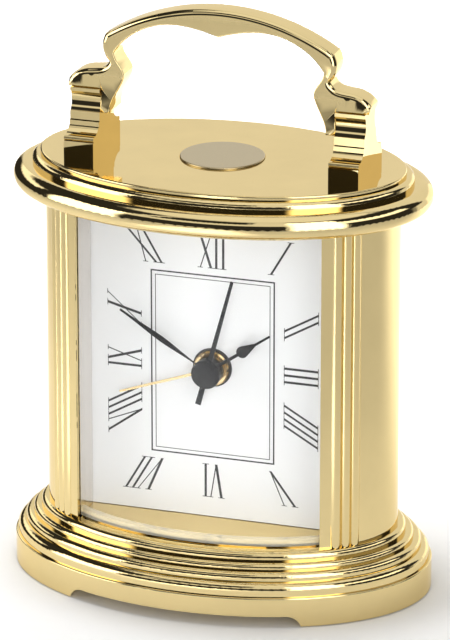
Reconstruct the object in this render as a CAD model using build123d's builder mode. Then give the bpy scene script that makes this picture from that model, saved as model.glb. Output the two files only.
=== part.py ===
from build123d import *
import os
from math import asin, cos, degrees, hypot, radians, sin, sqrt

# Oval carriage-style alarm clock. A stepped oval base and a moulded cornice hold a reeded oval case
# with a bowed glass in front and a hinged door behind. A cast handle stands on the cornice and a
# battery alarm movement hangs on the back of the dial.
# Millimetres. +Z is up, the dial faces -Y, and the origin is the middle of the footprint on the table.

# Base: every oval of the clock is the plinth oval moved inwards by an even inset.
PLINTH_A = 38.1
PLINTH_B = 25.7
PLINTH_H = 5.35
PLINTH_EDGE = 0.25
PAD_PROUD = 0.2
PAD_R = 2.5
PAD_RECESS = 0.8
PAD_INSET = 7.8
PAD_Y = 10.3
BEAD_HEIGHTS = (2.3, 1.5, 1.2, 1.45)
BEAD_INSET = 0.5
BEAD_STEP = 1.4
BEAD_ROUND = 0.62
FOOT_GAP_HALF = 21.3
FOOT_GAP_RUN = 3.1
FOOT_GAP_H = 1.9
BASE_WALL = 7.6
BASE_FLOOR = 2.2
COVER_T = 1.5
COVER_CLEAR = 0.15
COVER_SET = 0.3
COVER_SCREW_X = 15.0
COVER_SCREW_Y = 9.0
COVER_BOSS_R = 2.6

# Case
CASE_INSET = 6.1
CASE_WALL = 1.2
CASE_H = 58.5
DIAL_VIEW_HALF = 22.35
STRIP_SPAN = 4.4
REED_SPAN = 4.25
REEDS = 3
REED_PROUD = 0.55
JAMB_T = 3.25

# Glass and its seals
GLASS_INSET = 1.0
GLASS_T = 1.2
GLASS_BITE = 1.0
GLASS_DEEP = 0.7
GLASS_CLEAR = 0.1
SEAL_W = 1.3
SEAL_H = 1.3

# Rear door
DOOR_HALF = 21.0
DOOR_GAP = 0.3
DOOR_RAIL = 3.2
HINGE_OFF = 0.5
BARREL_R = 1.1
HINGE_PIN_R = 0.5
KNUCKLE_H = 3.0
KNUCKLE_GAP = 0.15
HINGE_END = 9.0
DOOR_RUN = 0.05
KNOB_INSET = 4.5
KNOB_BALL_R = 2.1
KNOB_STEM_R = 0.8
KNOB_STEM_L = 2.0

# Dial
DIAL_Y = -5.4
DIAL_T = 0.5
CARRIER_T = 1.0
DIAL_HALF = 24.5
DIAL_CLEAR = 0.1
AXIS_DROP = 0.95
DIAL_SCREW_END = 6.0
SMALL_R = 0.7
SMALL_HEAD_R = 1.25
SMALL_HEAD_H = 0.8
SMALL_BITE = 3.0

# Cornice
NOSE_INSET = 0.5
NOSE_H = 4.4
CROWN_INSET = 3.9
CROWN_H = 1.6
CROWN_ROUND = 1.0
TOP_INSET = 5.3
TOP_H = 0.8
TOP_EDGE = 0.25
MEDALLION_R = 7.4
MEDALLION_RECESS = 0.25
MEDALLION_PROUD = 0.35

# Handle: the post profile is half-depth against height above the cornice.
POST_INSET = 16.8
POST_W = 5.4
POST_BLOCK = (7.1, 2.4)
POST_BEAD = (7.0, 3.3)
POST_FLARE = (4.2, 4.4)
POST_NECK = (4.0, 5.3)
POST_BAND = (3.6, 6.9)
POST_WAIST = 2.7
POST_CAP = (3.5, 10.5)
POST_H = 11.1
ARCH_RISE = 15.9
ARCH_T = 5.2
ARCH_ROUND = 1.3
ARCH_FLARE = (3.4, 1.5)
BRACKET_DROP = 4.2
BRACKET_W = 1.7

# Screws that hold the clock together
TIE_R = 1.5
TIE_HEAD_R = 2.4
TIE_HEAD_H = 1.8
TIE_Y = 7.0
TIE_BITE = 5.0
HANDLE_SCREW_R = 1.25
HANDLE_HEAD_R = 2.2
HANDLE_HEAD_H = 1.8
HANDLE_SINK = 3.0
HANDLE_BITE = 2.0
HOLE_CLEAR = 0.2
PART_GAP = 0.3
THREAD_CLEAR = 0.02

# Movement
MOVE_HALF = 20.5
MOVE_DROP = 0.75
MOVE_D = 14.9
MOVE_WALL = 1.2
PILLAR_R = 1.3
CORNER_R = 1.7
CORNER_IN = 0.8
LAYER_GAP = 0.3
LAYER_PITCH = 1.1
WHEEL_T = 0.7
ARBOR_R = 0.5
PIVOT_DEEP = 0.7
BRIDGE_T = 0.8
BRIDGE_RIM = 2.2
PILLAR_LEFT = 13.5
PILLAR_UP = 8.7
PILLAR_DOWN = 12.9
RUN_CLEAR = 0.05
BAY_X = 8.4
BAY_WALL = 0.7
BAY_LIP = 0.5
BATTERY_R = 5.15
BATTERY_L = 44.5
BATTERY_NUB_R = 1.9
BATTERY_NUB_H = 1.0
CONTACT_T = 0.3
CONTACT_W = 7.0
SPRING_H = 2.2
PLUS_RISE = 0.9
BOARD_T = 0.7
BOARD_H = 6.6
BOARD_BACK = 0.6
CHIP_W = 4.5
CHIP_T = 1.2
CRYSTAL_R = 1.0
CRYSTAL_L = 6.0
BUZZER_R = 6.0
BUZZER_T = 0.5
BUZZER_LEFT = 11.0
BUZZER_DOWN = 7.8
SOUND_HOLE_R = 0.6
ROTOR_R = 2.4
ROTOR_T = 2.0
STATOR_T = 0.8
STATOR_RING = 1.3
STATOR_GAP = 0.5
STATOR_HALF = 7.5
STATOR_ARM = 2.5
YOKE_H = 1.8
COIL_R = 2.5
COIL_UP = 7.6
CORE_T = 0.7
CORE_H = 2.6
SWITCH_TRAVEL = 3.0
SWITCH_X = -16.5
SWITCH_UP = 1.7
SWITCH_STEM_W = 1.9
SWITCH_STEM_L = 2.4
SWITCH_FOOT = (3.2, 0.5, 4.0)
SWITCH_PAD = (4.0, 1.6, 5.0)
SWITCH_CLEAR = 0.2
SET_KNOB_R = 3.6
SET_KNOB_T = 3.0
SET_ARBOR_R = 0.6
FLUTES = 18
FLUTE_R = 0.25

# Hands: radii of the tubes on the hand axis, from the seconds arbor outwards.
SECOND_R = 0.4
MINUTE_R = (0.48, 0.9)
HOUR_R = (0.98, 1.5)
ALARM_R = (1.58, 2.05)
BUSH_R = (2.13, 2.5)
PRESS_CLEAR = 0.02
WASHER_R = 3.55
WASHER_T = 0.2
NUT_R = 3.2
NUT_EDGE = 0.25
NUT_T = 0.8
NUT_SLOT_R = 0.3
HAND_T = 0.25
BOSS_T = 0.4
MINUTE_BOSS_T = 0.7
HAND_GAP = 0.2
ALARM_LEN = 17.65
ALARM_HALF = (0.24, 0.18)
HOUR_LEN = 13.4
HOUR_BULB = 7.4
HOUR_BULB_R = 1.05
HOUR_HALF = (0.34, 0.18)
MINUTE_LEN = 18.85
MINUTE_WIDE = 9.2
MINUTE_HALF = 0.46
MINUTE_ENDS = (0.22, 0.16)
SECOND_LEN = 18.1
SECOND_TAIL = 6.1
SECOND_HALF = (0.5, 0.27)
HUB_IN = 0.2
CAP_R = 2.6
CAP_T = 1.1
ALARM_AT = 250.4
HOUR_AT = 55.2
MINUTE_AT = 301.8
SECOND_AT = 14.9

# Wheel train: teeth and modules
TOOTH_ADD = 0.8
TOOTH_DED = 1.15
TOOTH_ROOT = 0.29
TOOTH_TIP = 0.10
CANNON_N = 12
MOTION_N = 36
MOTION_PINION_N = 10
HOUR_N = 40
MOTION_M = 0.3
SECOND_PINION_N = 8
THIRD_N = 60
THIRD_PINION_N = 8
CENTRE_N = 64
THIRD_M = 0.25
SECOND_N = 60
MIDDLE_PINION_N = 10
MIDDLE_N = 40
ROTOR_N = 8
MIDDLE_M = 0.25
ROTOR_M = 0.22
ALARM_N = 40
ALARM_SET_N = 20
TIME_SET_N = 12
ALARM_M = 0.3
THIRD_DIR = 200.0
MOTION_DIR = 270.0
SET_DIR = 225.0
ALARM_SET_DIR = 90.0
MIDDLE_DIR = 135.0
ROTOR_DIR = 110.0

# Levels and places that follow from the sizes
plinth_top = PAD_PROUD + PLINTH_H
base_top = plinth_top + sum(BEAD_HEIGHTS)
pocket_top = base_top - BASE_FLOOR
cover_z = PAD_PROUD + FOOT_GAP_H + COVER_SET
cover_top = cover_z + COVER_T
pad_x = PLINTH_A - PAD_INSET
case_a = PLINTH_A - CASE_INSET
case_b = PLINTH_B - CASE_INSET
case_top = base_top + CASE_H
case_mid = (base_top + case_top) / 2
glass_a = case_a - GLASS_INSET
glass_b = case_b - GLASS_INSET
glass_half = DIAL_VIEW_HALF + GLASS_BITE
strip_from = degrees(asin(DIAL_VIEW_HALF / case_a))
reeds_from = strip_from + STRIP_SPAN
reeds_to = reeds_from + REEDS * REED_SPAN
nose_top = case_top + NOSE_H
crown_top = nose_top + CROWN_H
cornice_top = crown_top + TOP_H
post_in = PLINTH_A - POST_INSET
post_mid = post_in + POST_W / 2
post_top = cornice_top + POST_H
arch_top = post_top + ARCH_RISE
axis_z = case_mid - AXIS_DROP
carrier_y = DIAL_Y + DIAL_T
move_front = carrier_y + CARRIER_T
move_in = move_front + MOVE_WALL
move_back = move_front + MOVE_D
cover_in = move_back - MOVE_WALL
move_h = BATTERY_L + SPRING_H + PLUS_RISE + 2 * MOVE_WALL
move_mid = case_mid - MOVE_DROP
move_low = move_mid - move_h / 2
move_high = move_mid + move_h / 2
in_low = move_low + MOVE_WALL
in_high = move_high - MOVE_WALL
in_half = MOVE_HALF - MOVE_WALL
bay_mid = (BAY_X + in_half) / 2
wall_x = (case_a - CASE_WALL) * sqrt(1 - (TIE_Y / (case_b - CASE_WALL)) ** 2)
tie_x = (MOVE_HALF + wall_x) / 2
door_low = base_top + DOOR_RAIL
door_high = case_top - DOOR_RAIL


def level(z):
    return Plane.XY.offset(z)


def facing(y):
    # A plane across the clock at depth y; extruding it by a positive amount comes forward.
    return Plane.XZ.offset(-y)


def oval_at(a, b, angle):
    # A point of an oval, by angle round from the front towards the right.
    return (a * sin(radians(angle)), -b * cos(radians(angle)))


def from_axis(reach, angle, start=(0, 0)):
    return (start[0] + reach * cos(radians(angle)), start[1] + reach * sin(radians(angle)))


def hand_point(angle, along, aside=0.0):
    # A point of a hand that stands at a clockwise angle from twelve.
    turn = radians(angle)
    return (along * sin(turn) + aside * cos(turn), axis_z + along * cos(turn) - aside * sin(turn))


def rod(x, z, radius, front, rear, mode=Mode.ADD):
    with Locations(Location((x, (front + rear) / 2, z), (90, 0, 0))):
        Cylinder(radius, rear - front, mode=mode)


def layer(number):
    return move_in + LAYER_GAP + (number - 1) * LAYER_PITCH


def wheel_outline(teeth, module, tooth_at):
    step = 360 / teeth
    root = module * (teeth / 2 - TOOTH_DED)
    tip = module * (teeth / 2 + TOOTH_ADD)
    outline = []
    for number in range(teeth):
        middle = tooth_at + number * step
        outline.append(from_axis(root, middle - TOOTH_ROOT * step))
        outline.append(from_axis(tip, middle - TOOTH_TIP * step))
        outline.append(from_axis(tip, middle + TOOTH_TIP * step))
        outline.append(from_axis(root, middle + TOOTH_ROOT * step))
    return outline


def meshed(tooth_at, teeth, next_teeth, direction):
    # Where the next wheel needs a tooth so that the two wheels mesh along the direction between them.
    return direction + 180 - (tooth_at - direction) * teeth / next_teeth - 180 / next_teeth


def glass_band(spare):
    Ellipse(glass_a + spare, glass_b + spare)
    Ellipse(glass_a - GLASS_T - spare, glass_b - GLASS_T - spare, mode=Mode.SUBTRACT)
    with Locations((0, -case_b)):
        Rectangle(2 * (glass_half + spare), 2 * case_b, mode=Mode.INTERSECT)


def case_wall_ring():
    Ellipse(case_a, case_b)
    Ellipse(case_a - CASE_WALL, case_b - CASE_WALL, mode=Mode.SUBTRACT)


os.makedirs("parts", exist_ok=True)

# Base
with BuildPart() as base_plinth:
    with BuildSketch(level(PAD_PROUD)):
        Ellipse(PLINTH_A, PLINTH_B)
    extrude(amount=PLINTH_H)
    fillet(base_plinth.edges().group_by(Axis.Z)[-1], PLINTH_EDGE)
    bead_z = plinth_top
    for number, bead_h in enumerate(BEAD_HEIGHTS):
        inset = BEAD_INSET + number * BEAD_STEP
        with BuildSketch(level(bead_z)):
            Ellipse(PLINTH_A - inset, PLINTH_B - inset)
        extrude(amount=bead_h)
        bead_z += bead_h
        fillet(base_plinth.edges().group_by(Axis.Z)[-1], min(BEAD_ROUND * bead_h, BEAD_STEP - 0.1))
    with BuildSketch(level(0)):
        Ellipse(PLINTH_A - BASE_WALL, PLINTH_B - BASE_WALL)
    extrude(amount=pocket_top, mode=Mode.SUBTRACT)
    with BuildSketch(level(cover_top)):
        with GridLocations(2 * COVER_SCREW_X, 2 * COVER_SCREW_Y, 2, 2):
            Circle(COVER_BOSS_R)
    extrude(amount=base_top - BASE_FLOOR / 2 - cover_top)
    with BuildSketch(level(cover_top)):
        with GridLocations(2 * COVER_SCREW_X, 2 * COVER_SCREW_Y, 2, 2):
            Circle(SMALL_R + THREAD_CLEAR)
    extrude(amount=SMALL_BITE, mode=Mode.SUBTRACT)
    with BuildSketch(facing(0)):
        with BuildLine():
            gap_top = PAD_PROUD + FOOT_GAP_H
            inner = FOOT_GAP_HALF - FOOT_GAP_RUN
            bend = sqrt(0.5)
            right = ThreePointArc(
                (inner, gap_top),
                (inner + bend * FOOT_GAP_RUN, PAD_PROUD + bend * FOOT_GAP_H),
                (FOOT_GAP_HALF, PAD_PROUD),
            )
            left = ThreePointArc(
                (-FOOT_GAP_HALF, PAD_PROUD),
                (-inner - bend * FOOT_GAP_RUN, PAD_PROUD + bend * FOOT_GAP_H),
                (-inner, gap_top),
            )
            Line(left @ 1, right @ 0)
            Polyline(right @ 1, (FOOT_GAP_HALF, 0), (-FOOT_GAP_HALF, 0), left @ 0)
        make_face()
    extrude(amount=PLINTH_B, both=True, mode=Mode.SUBTRACT)
    with BuildSketch(level(base_top)):
        with Locations((-tie_x, TIE_Y), (tie_x, TIE_Y)):
            Circle(TIE_R + HOLE_CLEAR)
    extrude(amount=-BASE_FLOOR, mode=Mode.SUBTRACT)
    with BuildSketch(level(cover_top)):
        with Locations((-tie_x, TIE_Y), (tie_x, TIE_Y)):
            Circle(TIE_HEAD_R + HOLE_CLEAR)
    extrude(amount=pocket_top - cover_top, mode=Mode.SUBTRACT)
    with BuildSketch(level(base_top)):
        glass_band(GLASS_CLEAR)
    extrude(amount=-GLASS_DEEP - GLASS_CLEAR, mode=Mode.SUBTRACT)
    with BuildSketch(level(PAD_PROUD)):
        with GridLocations(2 * pad_x, 2 * PAD_Y, 2, 2):
            Circle(PAD_R + PRESS_CLEAR)
    extrude(amount=PAD_RECESS, mode=Mode.SUBTRACT)

with BuildPart() as base_cover:
    with BuildSketch(level(cover_z)):
        inset = BASE_WALL + COVER_CLEAR
        Ellipse(PLINTH_A - inset, PLINTH_B - inset)
        with GridLocations(2 * COVER_SCREW_X, 2 * COVER_SCREW_Y, 2, 2):
            Circle(SMALL_R + HOLE_CLEAR, mode=Mode.SUBTRACT)
    extrude(amount=COVER_T)

with BuildPart() as base_cover_screws:
    with BuildSketch(level(cover_z - SMALL_HEAD_H)):
        with GridLocations(2 * COVER_SCREW_X, 2 * COVER_SCREW_Y, 2, 2):
            Circle(SMALL_HEAD_R)
    extrude(amount=SMALL_HEAD_H)
    with BuildSketch(level(cover_z)):
        with GridLocations(2 * COVER_SCREW_X, 2 * COVER_SCREW_Y, 2, 2):
            Circle(SMALL_R)
    extrude(amount=COVER_T + SMALL_BITE - HOLE_CLEAR)

with BuildPart() as foot_pads:
    with BuildSketch(level(0)):
        with GridLocations(2 * pad_x, 2 * PAD_Y, 2, 2):
            Circle(PAD_R)
    extrude(amount=PAD_PROUD + PAD_RECESS)

with BuildPart() as tie_rods:
    with BuildSketch(level(pocket_top - TIE_HEAD_H)):
        with Locations((-tie_x, TIE_Y), (tie_x, TIE_Y)):
            Circle(TIE_HEAD_R)
    extrude(amount=TIE_HEAD_H)
    with BuildSketch(level(pocket_top)):
        with Locations((-tie_x, TIE_Y), (tie_x, TIE_Y)):
            Circle(TIE_R)
    extrude(amount=case_top + TIE_BITE - HOLE_CLEAR - pocket_top)

# Rear hinge: a knuckle of the door turns between two knuckles of the case at each end of the door.
window_half = DOOR_HALF + DOOR_GAP
edge_x = -(DOOR_HALF + window_half) / 2
edge_y = case_b * sqrt(1 - (edge_x / case_a) ** 2)
slope = hypot(edge_x / case_a**2, edge_y / case_b**2)
hinge_x = edge_x + HINGE_OFF * edge_x / case_a**2 / slope
hinge_y = edge_y + HINGE_OFF * edge_y / case_b**2 / slope
hinge_zs = (door_low + HINGE_END, door_high - HINGE_END)
knuckle_step = KNUCKLE_H + KNUCKLE_GAP
hinge_span = 3 * KNUCKLE_H + 2 * KNUCKLE_GAP
door_spots = [(hinge_x, hinge_y, z) for z in hinge_zs]
case_spots = [(hinge_x, hinge_y, z + side * knuckle_step) for z in hinge_zs for side in (-1, 1)]
knob_x = DOOR_HALF - KNOB_INSET
knob_y = case_b * sqrt(1 - (knob_x / case_a) ** 2)

with BuildPart() as case_shell:
    with BuildSketch(level(base_top)):
        case_wall_ring()
        with BuildLine():
            inner = oval_at(case_a - 3 * CASE_WALL, case_b - 3 * CASE_WALL, reeds_to)
            outer = oval_at(case_a + 3 * CASE_WALL, case_b + 3 * CASE_WALL, reeds_to)
            Polyline(
                inner,
                outer,
                (outer[0], -2 * case_b),
                (-outer[0], -2 * case_b),
                (-outer[0], outer[1]),
                (-inner[0], inner[1]),
                close=True,
            )
        make_face(mode=Mode.SUBTRACT)
    extrude(amount=CASE_H)
    with Locations((0, case_b, case_mid)):
        Box(2 * window_half, 2 * case_b, door_high - door_low + 2 * DOOR_GAP, mode=Mode.SUBTRACT)
    with Locations(*door_spots):
        Cylinder(BARREL_R + DOOR_GAP, KNUCKLE_H + 2 * KNUCKLE_GAP, mode=Mode.SUBTRACT)
    with Locations(*case_spots):
        Cylinder(BARREL_R, KNUCKLE_H)
    with Locations(*door_spots):
        Cylinder(HINGE_PIN_R + PRESS_CLEAR, hinge_span, mode=Mode.SUBTRACT)

with BuildPart() as rear_door:
    with BuildSketch(level(door_low)):
        case_wall_ring()
        with Locations((0, case_b)):
            Rectangle(2 * DOOR_HALF, 2 * case_b, mode=Mode.INTERSECT)
    extrude(amount=door_high - door_low)
    with Locations(*case_spots):
        Cylinder(BARREL_R + DOOR_GAP, KNUCKLE_H + 2 * KNUCKLE_GAP, mode=Mode.SUBTRACT)
    with Locations(*door_spots):
        Cylinder(BARREL_R, KNUCKLE_H)
    with Locations(*door_spots):
        Cylinder(HINGE_PIN_R + DOOR_RUN, hinge_span, mode=Mode.SUBTRACT)
    stem_hole = (knob_y - 3 * CASE_WALL, knob_y + CASE_WALL)
    rod(knob_x, case_mid, KNOB_STEM_R + PRESS_CLEAR, *stem_hole, Mode.SUBTRACT)

with BuildPart() as hinge_pins:
    with Locations(*door_spots):
        Cylinder(HINGE_PIN_R, hinge_span)

with BuildPart() as door_knob:
    rod(knob_x, case_mid, KNOB_STEM_R, knob_y - 2 * CASE_WALL, knob_y + KNOB_STEM_L + KNOB_BALL_R)
    with Locations((knob_x, knob_y + KNOB_STEM_L + KNOB_BALL_R, case_mid)):
        Sphere(KNOB_BALL_R)

# Pilasters: a plain strip and three reeds, with a jamb that runs back to the dial.
dial_screw_x = DIAL_VIEW_HALF + JAMB_T / 2
dial_screw_zs = (base_top + DIAL_SCREW_END, case_top - DIAL_SCREW_END)
pilasters = {}
for side, where in ((-1, "left"), (1, "right")):
    with BuildPart() as pilaster:
        with BuildSketch(level(base_top)):
            with BuildLine():
                strip_in = oval_at(case_a, case_b, strip_from)
                valley = oval_at(case_a, case_b, reeds_from)
                Polyline(
                    (side * DIAL_VIEW_HALF, DIAL_Y),
                    (side * strip_in[0], strip_in[1]),
                    (side * valley[0], valley[1]),
                )
                for number in range(REEDS):
                    start = reeds_from + number * REED_SPAN
                    first = oval_at(case_a, case_b, start)
                    crest = oval_at(case_a + REED_PROUD, case_b + REED_PROUD, start + REED_SPAN / 2)
                    last = oval_at(case_a, case_b, start + REED_SPAN)
                    reed = [(side * x, y) for x, y in (first, crest, last)]
                    ThreePointArc(*reed)
                outer = oval_at(case_a, case_b, reeds_to)
                inner = oval_at(case_a - CASE_WALL, case_b - CASE_WALL, reeds_to)
                jamb_out = DIAL_VIEW_HALF + JAMB_T
                Polyline(
                    (side * outer[0], outer[1]),
                    (side * inner[0], inner[1]),
                    (side * jamb_out, inner[1]),
                    (side * jamb_out, DIAL_Y),
                    (side * DIAL_VIEW_HALF, DIAL_Y),
                )
            make_face()
        extrude(amount=CASE_H)
        with BuildSketch(level(base_top)):
            glass_band(GLASS_CLEAR)
        extrude(amount=CASE_H, mode=Mode.SUBTRACT)
        for screw_z in dial_screw_zs:
            screw_at = (side * dial_screw_x, screw_z)
            rod(*screw_at, SMALL_R + THREAD_CLEAR, DIAL_Y - SMALL_BITE, DIAL_Y, Mode.SUBTRACT)
    pilasters[where] = pilaster

with BuildPart() as glass:
    with BuildSketch(level(base_top - GLASS_DEEP)):
        glass_band(0)
    extrude(amount=CASE_H + 2 * GLASS_DEEP)

seals = {}
for where, seal_z in (("bottom", base_top), ("top", case_top - SEAL_H)):
    with BuildPart() as seal:
        with BuildSketch(level(seal_z)):
            back = GLASS_T + GLASS_CLEAR
            Ellipse(glass_a - back, glass_b - back)
            Ellipse(glass_a - back - SEAL_W, glass_b - back - SEAL_W, mode=Mode.SUBTRACT)
            with Locations((0, -case_b)):
                Rectangle(2 * (DIAL_VIEW_HALF - DIAL_CLEAR), 2 * case_b, mode=Mode.INTERSECT)
        extrude(amount=SEAL_H)
    seals[where] = seal

# Dial, held behind the jambs by its carrier
dial_h = CASE_H - 2 * DIAL_CLEAR
with BuildPart() as dial:
    with BuildSketch(facing(carrier_y)):
        with Locations((0, case_mid)):
            Rectangle(2 * DIAL_HALF, dial_h)
        with Locations((0, axis_z)):
            Circle(BUSH_R[1] + HOLE_CLEAR, mode=Mode.SUBTRACT)
        for screw_z in dial_screw_zs:
            with Locations((-dial_screw_x, screw_z), (dial_screw_x, screw_z)):
                Circle(SMALL_R + HOLE_CLEAR, mode=Mode.SUBTRACT)
    extrude(amount=DIAL_T)

with BuildPart() as dial_carrier:
    with BuildSketch(facing(move_front)):
        with Locations((0, case_mid)):
            Rectangle(2 * DIAL_HALF, dial_h)
        with Locations((0, axis_z)):
            Circle(BUSH_R[1] + HOLE_CLEAR, mode=Mode.SUBTRACT)
        for screw_z in dial_screw_zs:
            with Locations((-dial_screw_x, screw_z), (dial_screw_x, screw_z)):
                Circle(SMALL_R + HOLE_CLEAR, mode=Mode.SUBTRACT)
    extrude(amount=CARRIER_T)

with BuildPart() as dial_screws:
    for screw_z in dial_screw_zs:
        for side in (-1, 1):
            rod(side * dial_screw_x, screw_z, SMALL_HEAD_R, move_front, move_front + SMALL_HEAD_H)
            rod(side * dial_screw_x, screw_z, SMALL_R, DIAL_Y - SMALL_BITE + HOLE_CLEAR, move_front)

# Levels of the hands in front of the dial
washer_y = DIAL_Y - WASHER_T
nut_y = washer_y - NUT_T
bush_y = nut_y - HAND_GAP / 2
alarm_y = bush_y - HAND_GAP / 2 - BOSS_T
hour_y = alarm_y - HAND_GAP - BOSS_T
minute_y = hour_y - HAND_GAP - MINUTE_BOSS_T
cap_y = minute_y - HAND_GAP - CAP_T

with BuildPart() as dial_washer:
    rod(0, axis_z, WASHER_R, washer_y, DIAL_Y)
    rod(0, axis_z, BUSH_R[1] + DIAL_CLEAR, washer_y, DIAL_Y, Mode.SUBTRACT)

with BuildPart() as centre_nut:
    rod(0, axis_z, NUT_R, nut_y, washer_y)
    chamfer(centre_nut.faces().sort_by(Axis.Y)[0].edges(), NUT_EDGE)
    rod(0, axis_z, BUSH_R[1] + THREAD_CLEAR, nut_y, washer_y, Mode.SUBTRACT)
    for angle in (0, 90, 180, 270):
        rod(*from_axis(NUT_R, angle, (0, axis_z)), NUT_SLOT_R, nut_y, washer_y, Mode.SUBTRACT)

# Hands
with BuildPart() as alarm_hand:
    with BuildSketch(facing(alarm_y + HAND_T)):
        Polygon(
            hand_point(ALARM_AT, 0, -ALARM_HALF[0]),
            hand_point(ALARM_AT, ALARM_LEN, -ALARM_HALF[1]),
            hand_point(ALARM_AT, ALARM_LEN, ALARM_HALF[1]),
            hand_point(ALARM_AT, 0, ALARM_HALF[0]),
            align=None,
        )
    extrude(amount=HAND_T)
    rod(0, axis_z, ALARM_R[1] + 0.55, alarm_y, alarm_y + BOSS_T)
    rod(0, axis_z, ALARM_R[1] + PRESS_CLEAR, alarm_y, alarm_y + BOSS_T, Mode.SUBTRACT)

with BuildPart() as hour_hand:
    with BuildSketch(facing(hour_y + HAND_T)):
        Polygon(
            hand_point(HOUR_AT, 0, -HOUR_HALF[0]),
            hand_point(HOUR_AT, HOUR_LEN, -HOUR_HALF[1]),
            hand_point(HOUR_AT, HOUR_LEN, HOUR_HALF[1]),
            hand_point(HOUR_AT, 0, HOUR_HALF[0]),
            align=None,
        )
    extrude(amount=HAND_T)
    with BuildSketch(facing(hour_y + HAND_T)):
        with Locations(hand_point(HOUR_AT, HOUR_BULB)):
            Circle(HOUR_BULB_R)
        with Locations(hand_point(HOUR_AT, HOUR_BULB + 2.3 * HOUR_BULB_R)):
            Circle(HOUR_HALF[0])
        make_hull()
    extrude(amount=HAND_T)
    rod(0, axis_z, CAP_R - HUB_IN, hour_y, hour_y + BOSS_T)
    rod(0, axis_z, HOUR_R[1] + PRESS_CLEAR, hour_y, hour_y + BOSS_T, Mode.SUBTRACT)

with BuildPart() as minute_hand:
    with BuildSketch(facing(minute_y + (MINUTE_BOSS_T + HAND_T) / 2)):
        with BuildLine():
            for side in (-1, 1):
                Spline(
                    hand_point(MINUTE_AT, 0, side * MINUTE_ENDS[0]),
                    hand_point(MINUTE_AT, 0.6 * MINUTE_WIDE, side * MINUTE_ENDS[0]),
                    hand_point(MINUTE_AT, MINUTE_WIDE, side * MINUTE_HALF),
                    hand_point(MINUTE_AT, 1.5 * MINUTE_WIDE, side * (MINUTE_HALF + MINUTE_ENDS[1]) / 2),
                    hand_point(MINUTE_AT, MINUTE_LEN, side * MINUTE_ENDS[1]),
                )
            for along, half in zip((0, MINUTE_LEN), MINUTE_ENDS):
                Line(hand_point(MINUTE_AT, along, -half), hand_point(MINUTE_AT, along, half))
        make_face()
    extrude(amount=HAND_T)
    rod(0, axis_z, CAP_R - HUB_IN, minute_y, minute_y + MINUTE_BOSS_T)
    rod(0, axis_z, MINUTE_R[1] + PRESS_CLEAR, minute_y, minute_y + MINUTE_BOSS_T, Mode.SUBTRACT)

with BuildPart() as second_hand:
    with BuildSketch(facing(cap_y + CAP_T)):
        Polygon(
            hand_point(SECOND_AT, -SECOND_TAIL, -SECOND_HALF[0]),
            hand_point(SECOND_AT, SECOND_LEN, -SECOND_HALF[1]),
            hand_point(SECOND_AT, SECOND_LEN, SECOND_HALF[1]),
            hand_point(SECOND_AT, -SECOND_TAIL, SECOND_HALF[0]),
            align=None,
        )
    extrude(amount=HAND_T)
    rod(0, axis_z, CAP_R, cap_y, cap_y + CAP_T)
    fillet(second_hand.faces().sort_by(Axis.Y)[0].edges(), CAP_T / 3)
    rod(0, axis_z, SECOND_R + PRESS_CLEAR, cap_y + CAP_T / 3, cap_y + CAP_T, Mode.SUBTRACT)

# Cornice
handle_xs = (-post_mid, post_mid)
with BuildPart() as cornice:
    with BuildSketch(level(case_top)):
        Ellipse(PLINTH_A - NOSE_INSET, PLINTH_B - NOSE_INSET)
    extrude(amount=NOSE_H)
    fillet(cornice.edges(), NOSE_H / 2 - 0.02)
    with BuildSketch(level(nose_top)):
        Ellipse(PLINTH_A - CROWN_INSET, PLINTH_B - CROWN_INSET)
    extrude(amount=CROWN_H)
    fillet(cornice.edges().group_by(Axis.Z)[-1], CROWN_ROUND)
    with BuildSketch(level(crown_top)):
        Ellipse(PLINTH_A - TOP_INSET, PLINTH_B - TOP_INSET)
    extrude(amount=TOP_H)
    fillet(cornice.edges().group_by(Axis.Z)[-1], TOP_EDGE)
    with BuildSketch(level(cornice_top)):
        Circle(MEDALLION_R + DIAL_CLEAR)
    extrude(amount=-MEDALLION_RECESS, mode=Mode.SUBTRACT)
    with BuildSketch(level(case_top)):
        with Locations((-tie_x, TIE_Y), (tie_x, TIE_Y)):
            Circle(TIE_R + THREAD_CLEAR)
    extrude(amount=TIE_BITE, mode=Mode.SUBTRACT)
    with BuildSketch(level(case_top)):
        with Locations(*[(x, 0) for x in handle_xs]):
            Circle(HANDLE_SCREW_R + HOLE_CLEAR)
    extrude(amount=cornice_top - case_top, mode=Mode.SUBTRACT)
    with BuildSketch(level(case_top)):
        with Locations(*[(x, 0) for x in handle_xs]):
            Circle(HANDLE_HEAD_R + HOLE_CLEAR)
    extrude(amount=HANDLE_SINK, mode=Mode.SUBTRACT)
    with BuildSketch(level(case_top)):
        glass_band(GLASS_CLEAR)
    extrude(amount=GLASS_DEEP + GLASS_CLEAR, mode=Mode.SUBTRACT)

with BuildPart() as medallion:
    with BuildSketch(level(cornice_top - MEDALLION_RECESS)):
        Circle(MEDALLION_R)
    extrude(amount=MEDALLION_RECESS + MEDALLION_PROUD)
    fillet(medallion.edges().group_by(Axis.Z)[-1], MEDALLION_PROUD / 2)

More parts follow.
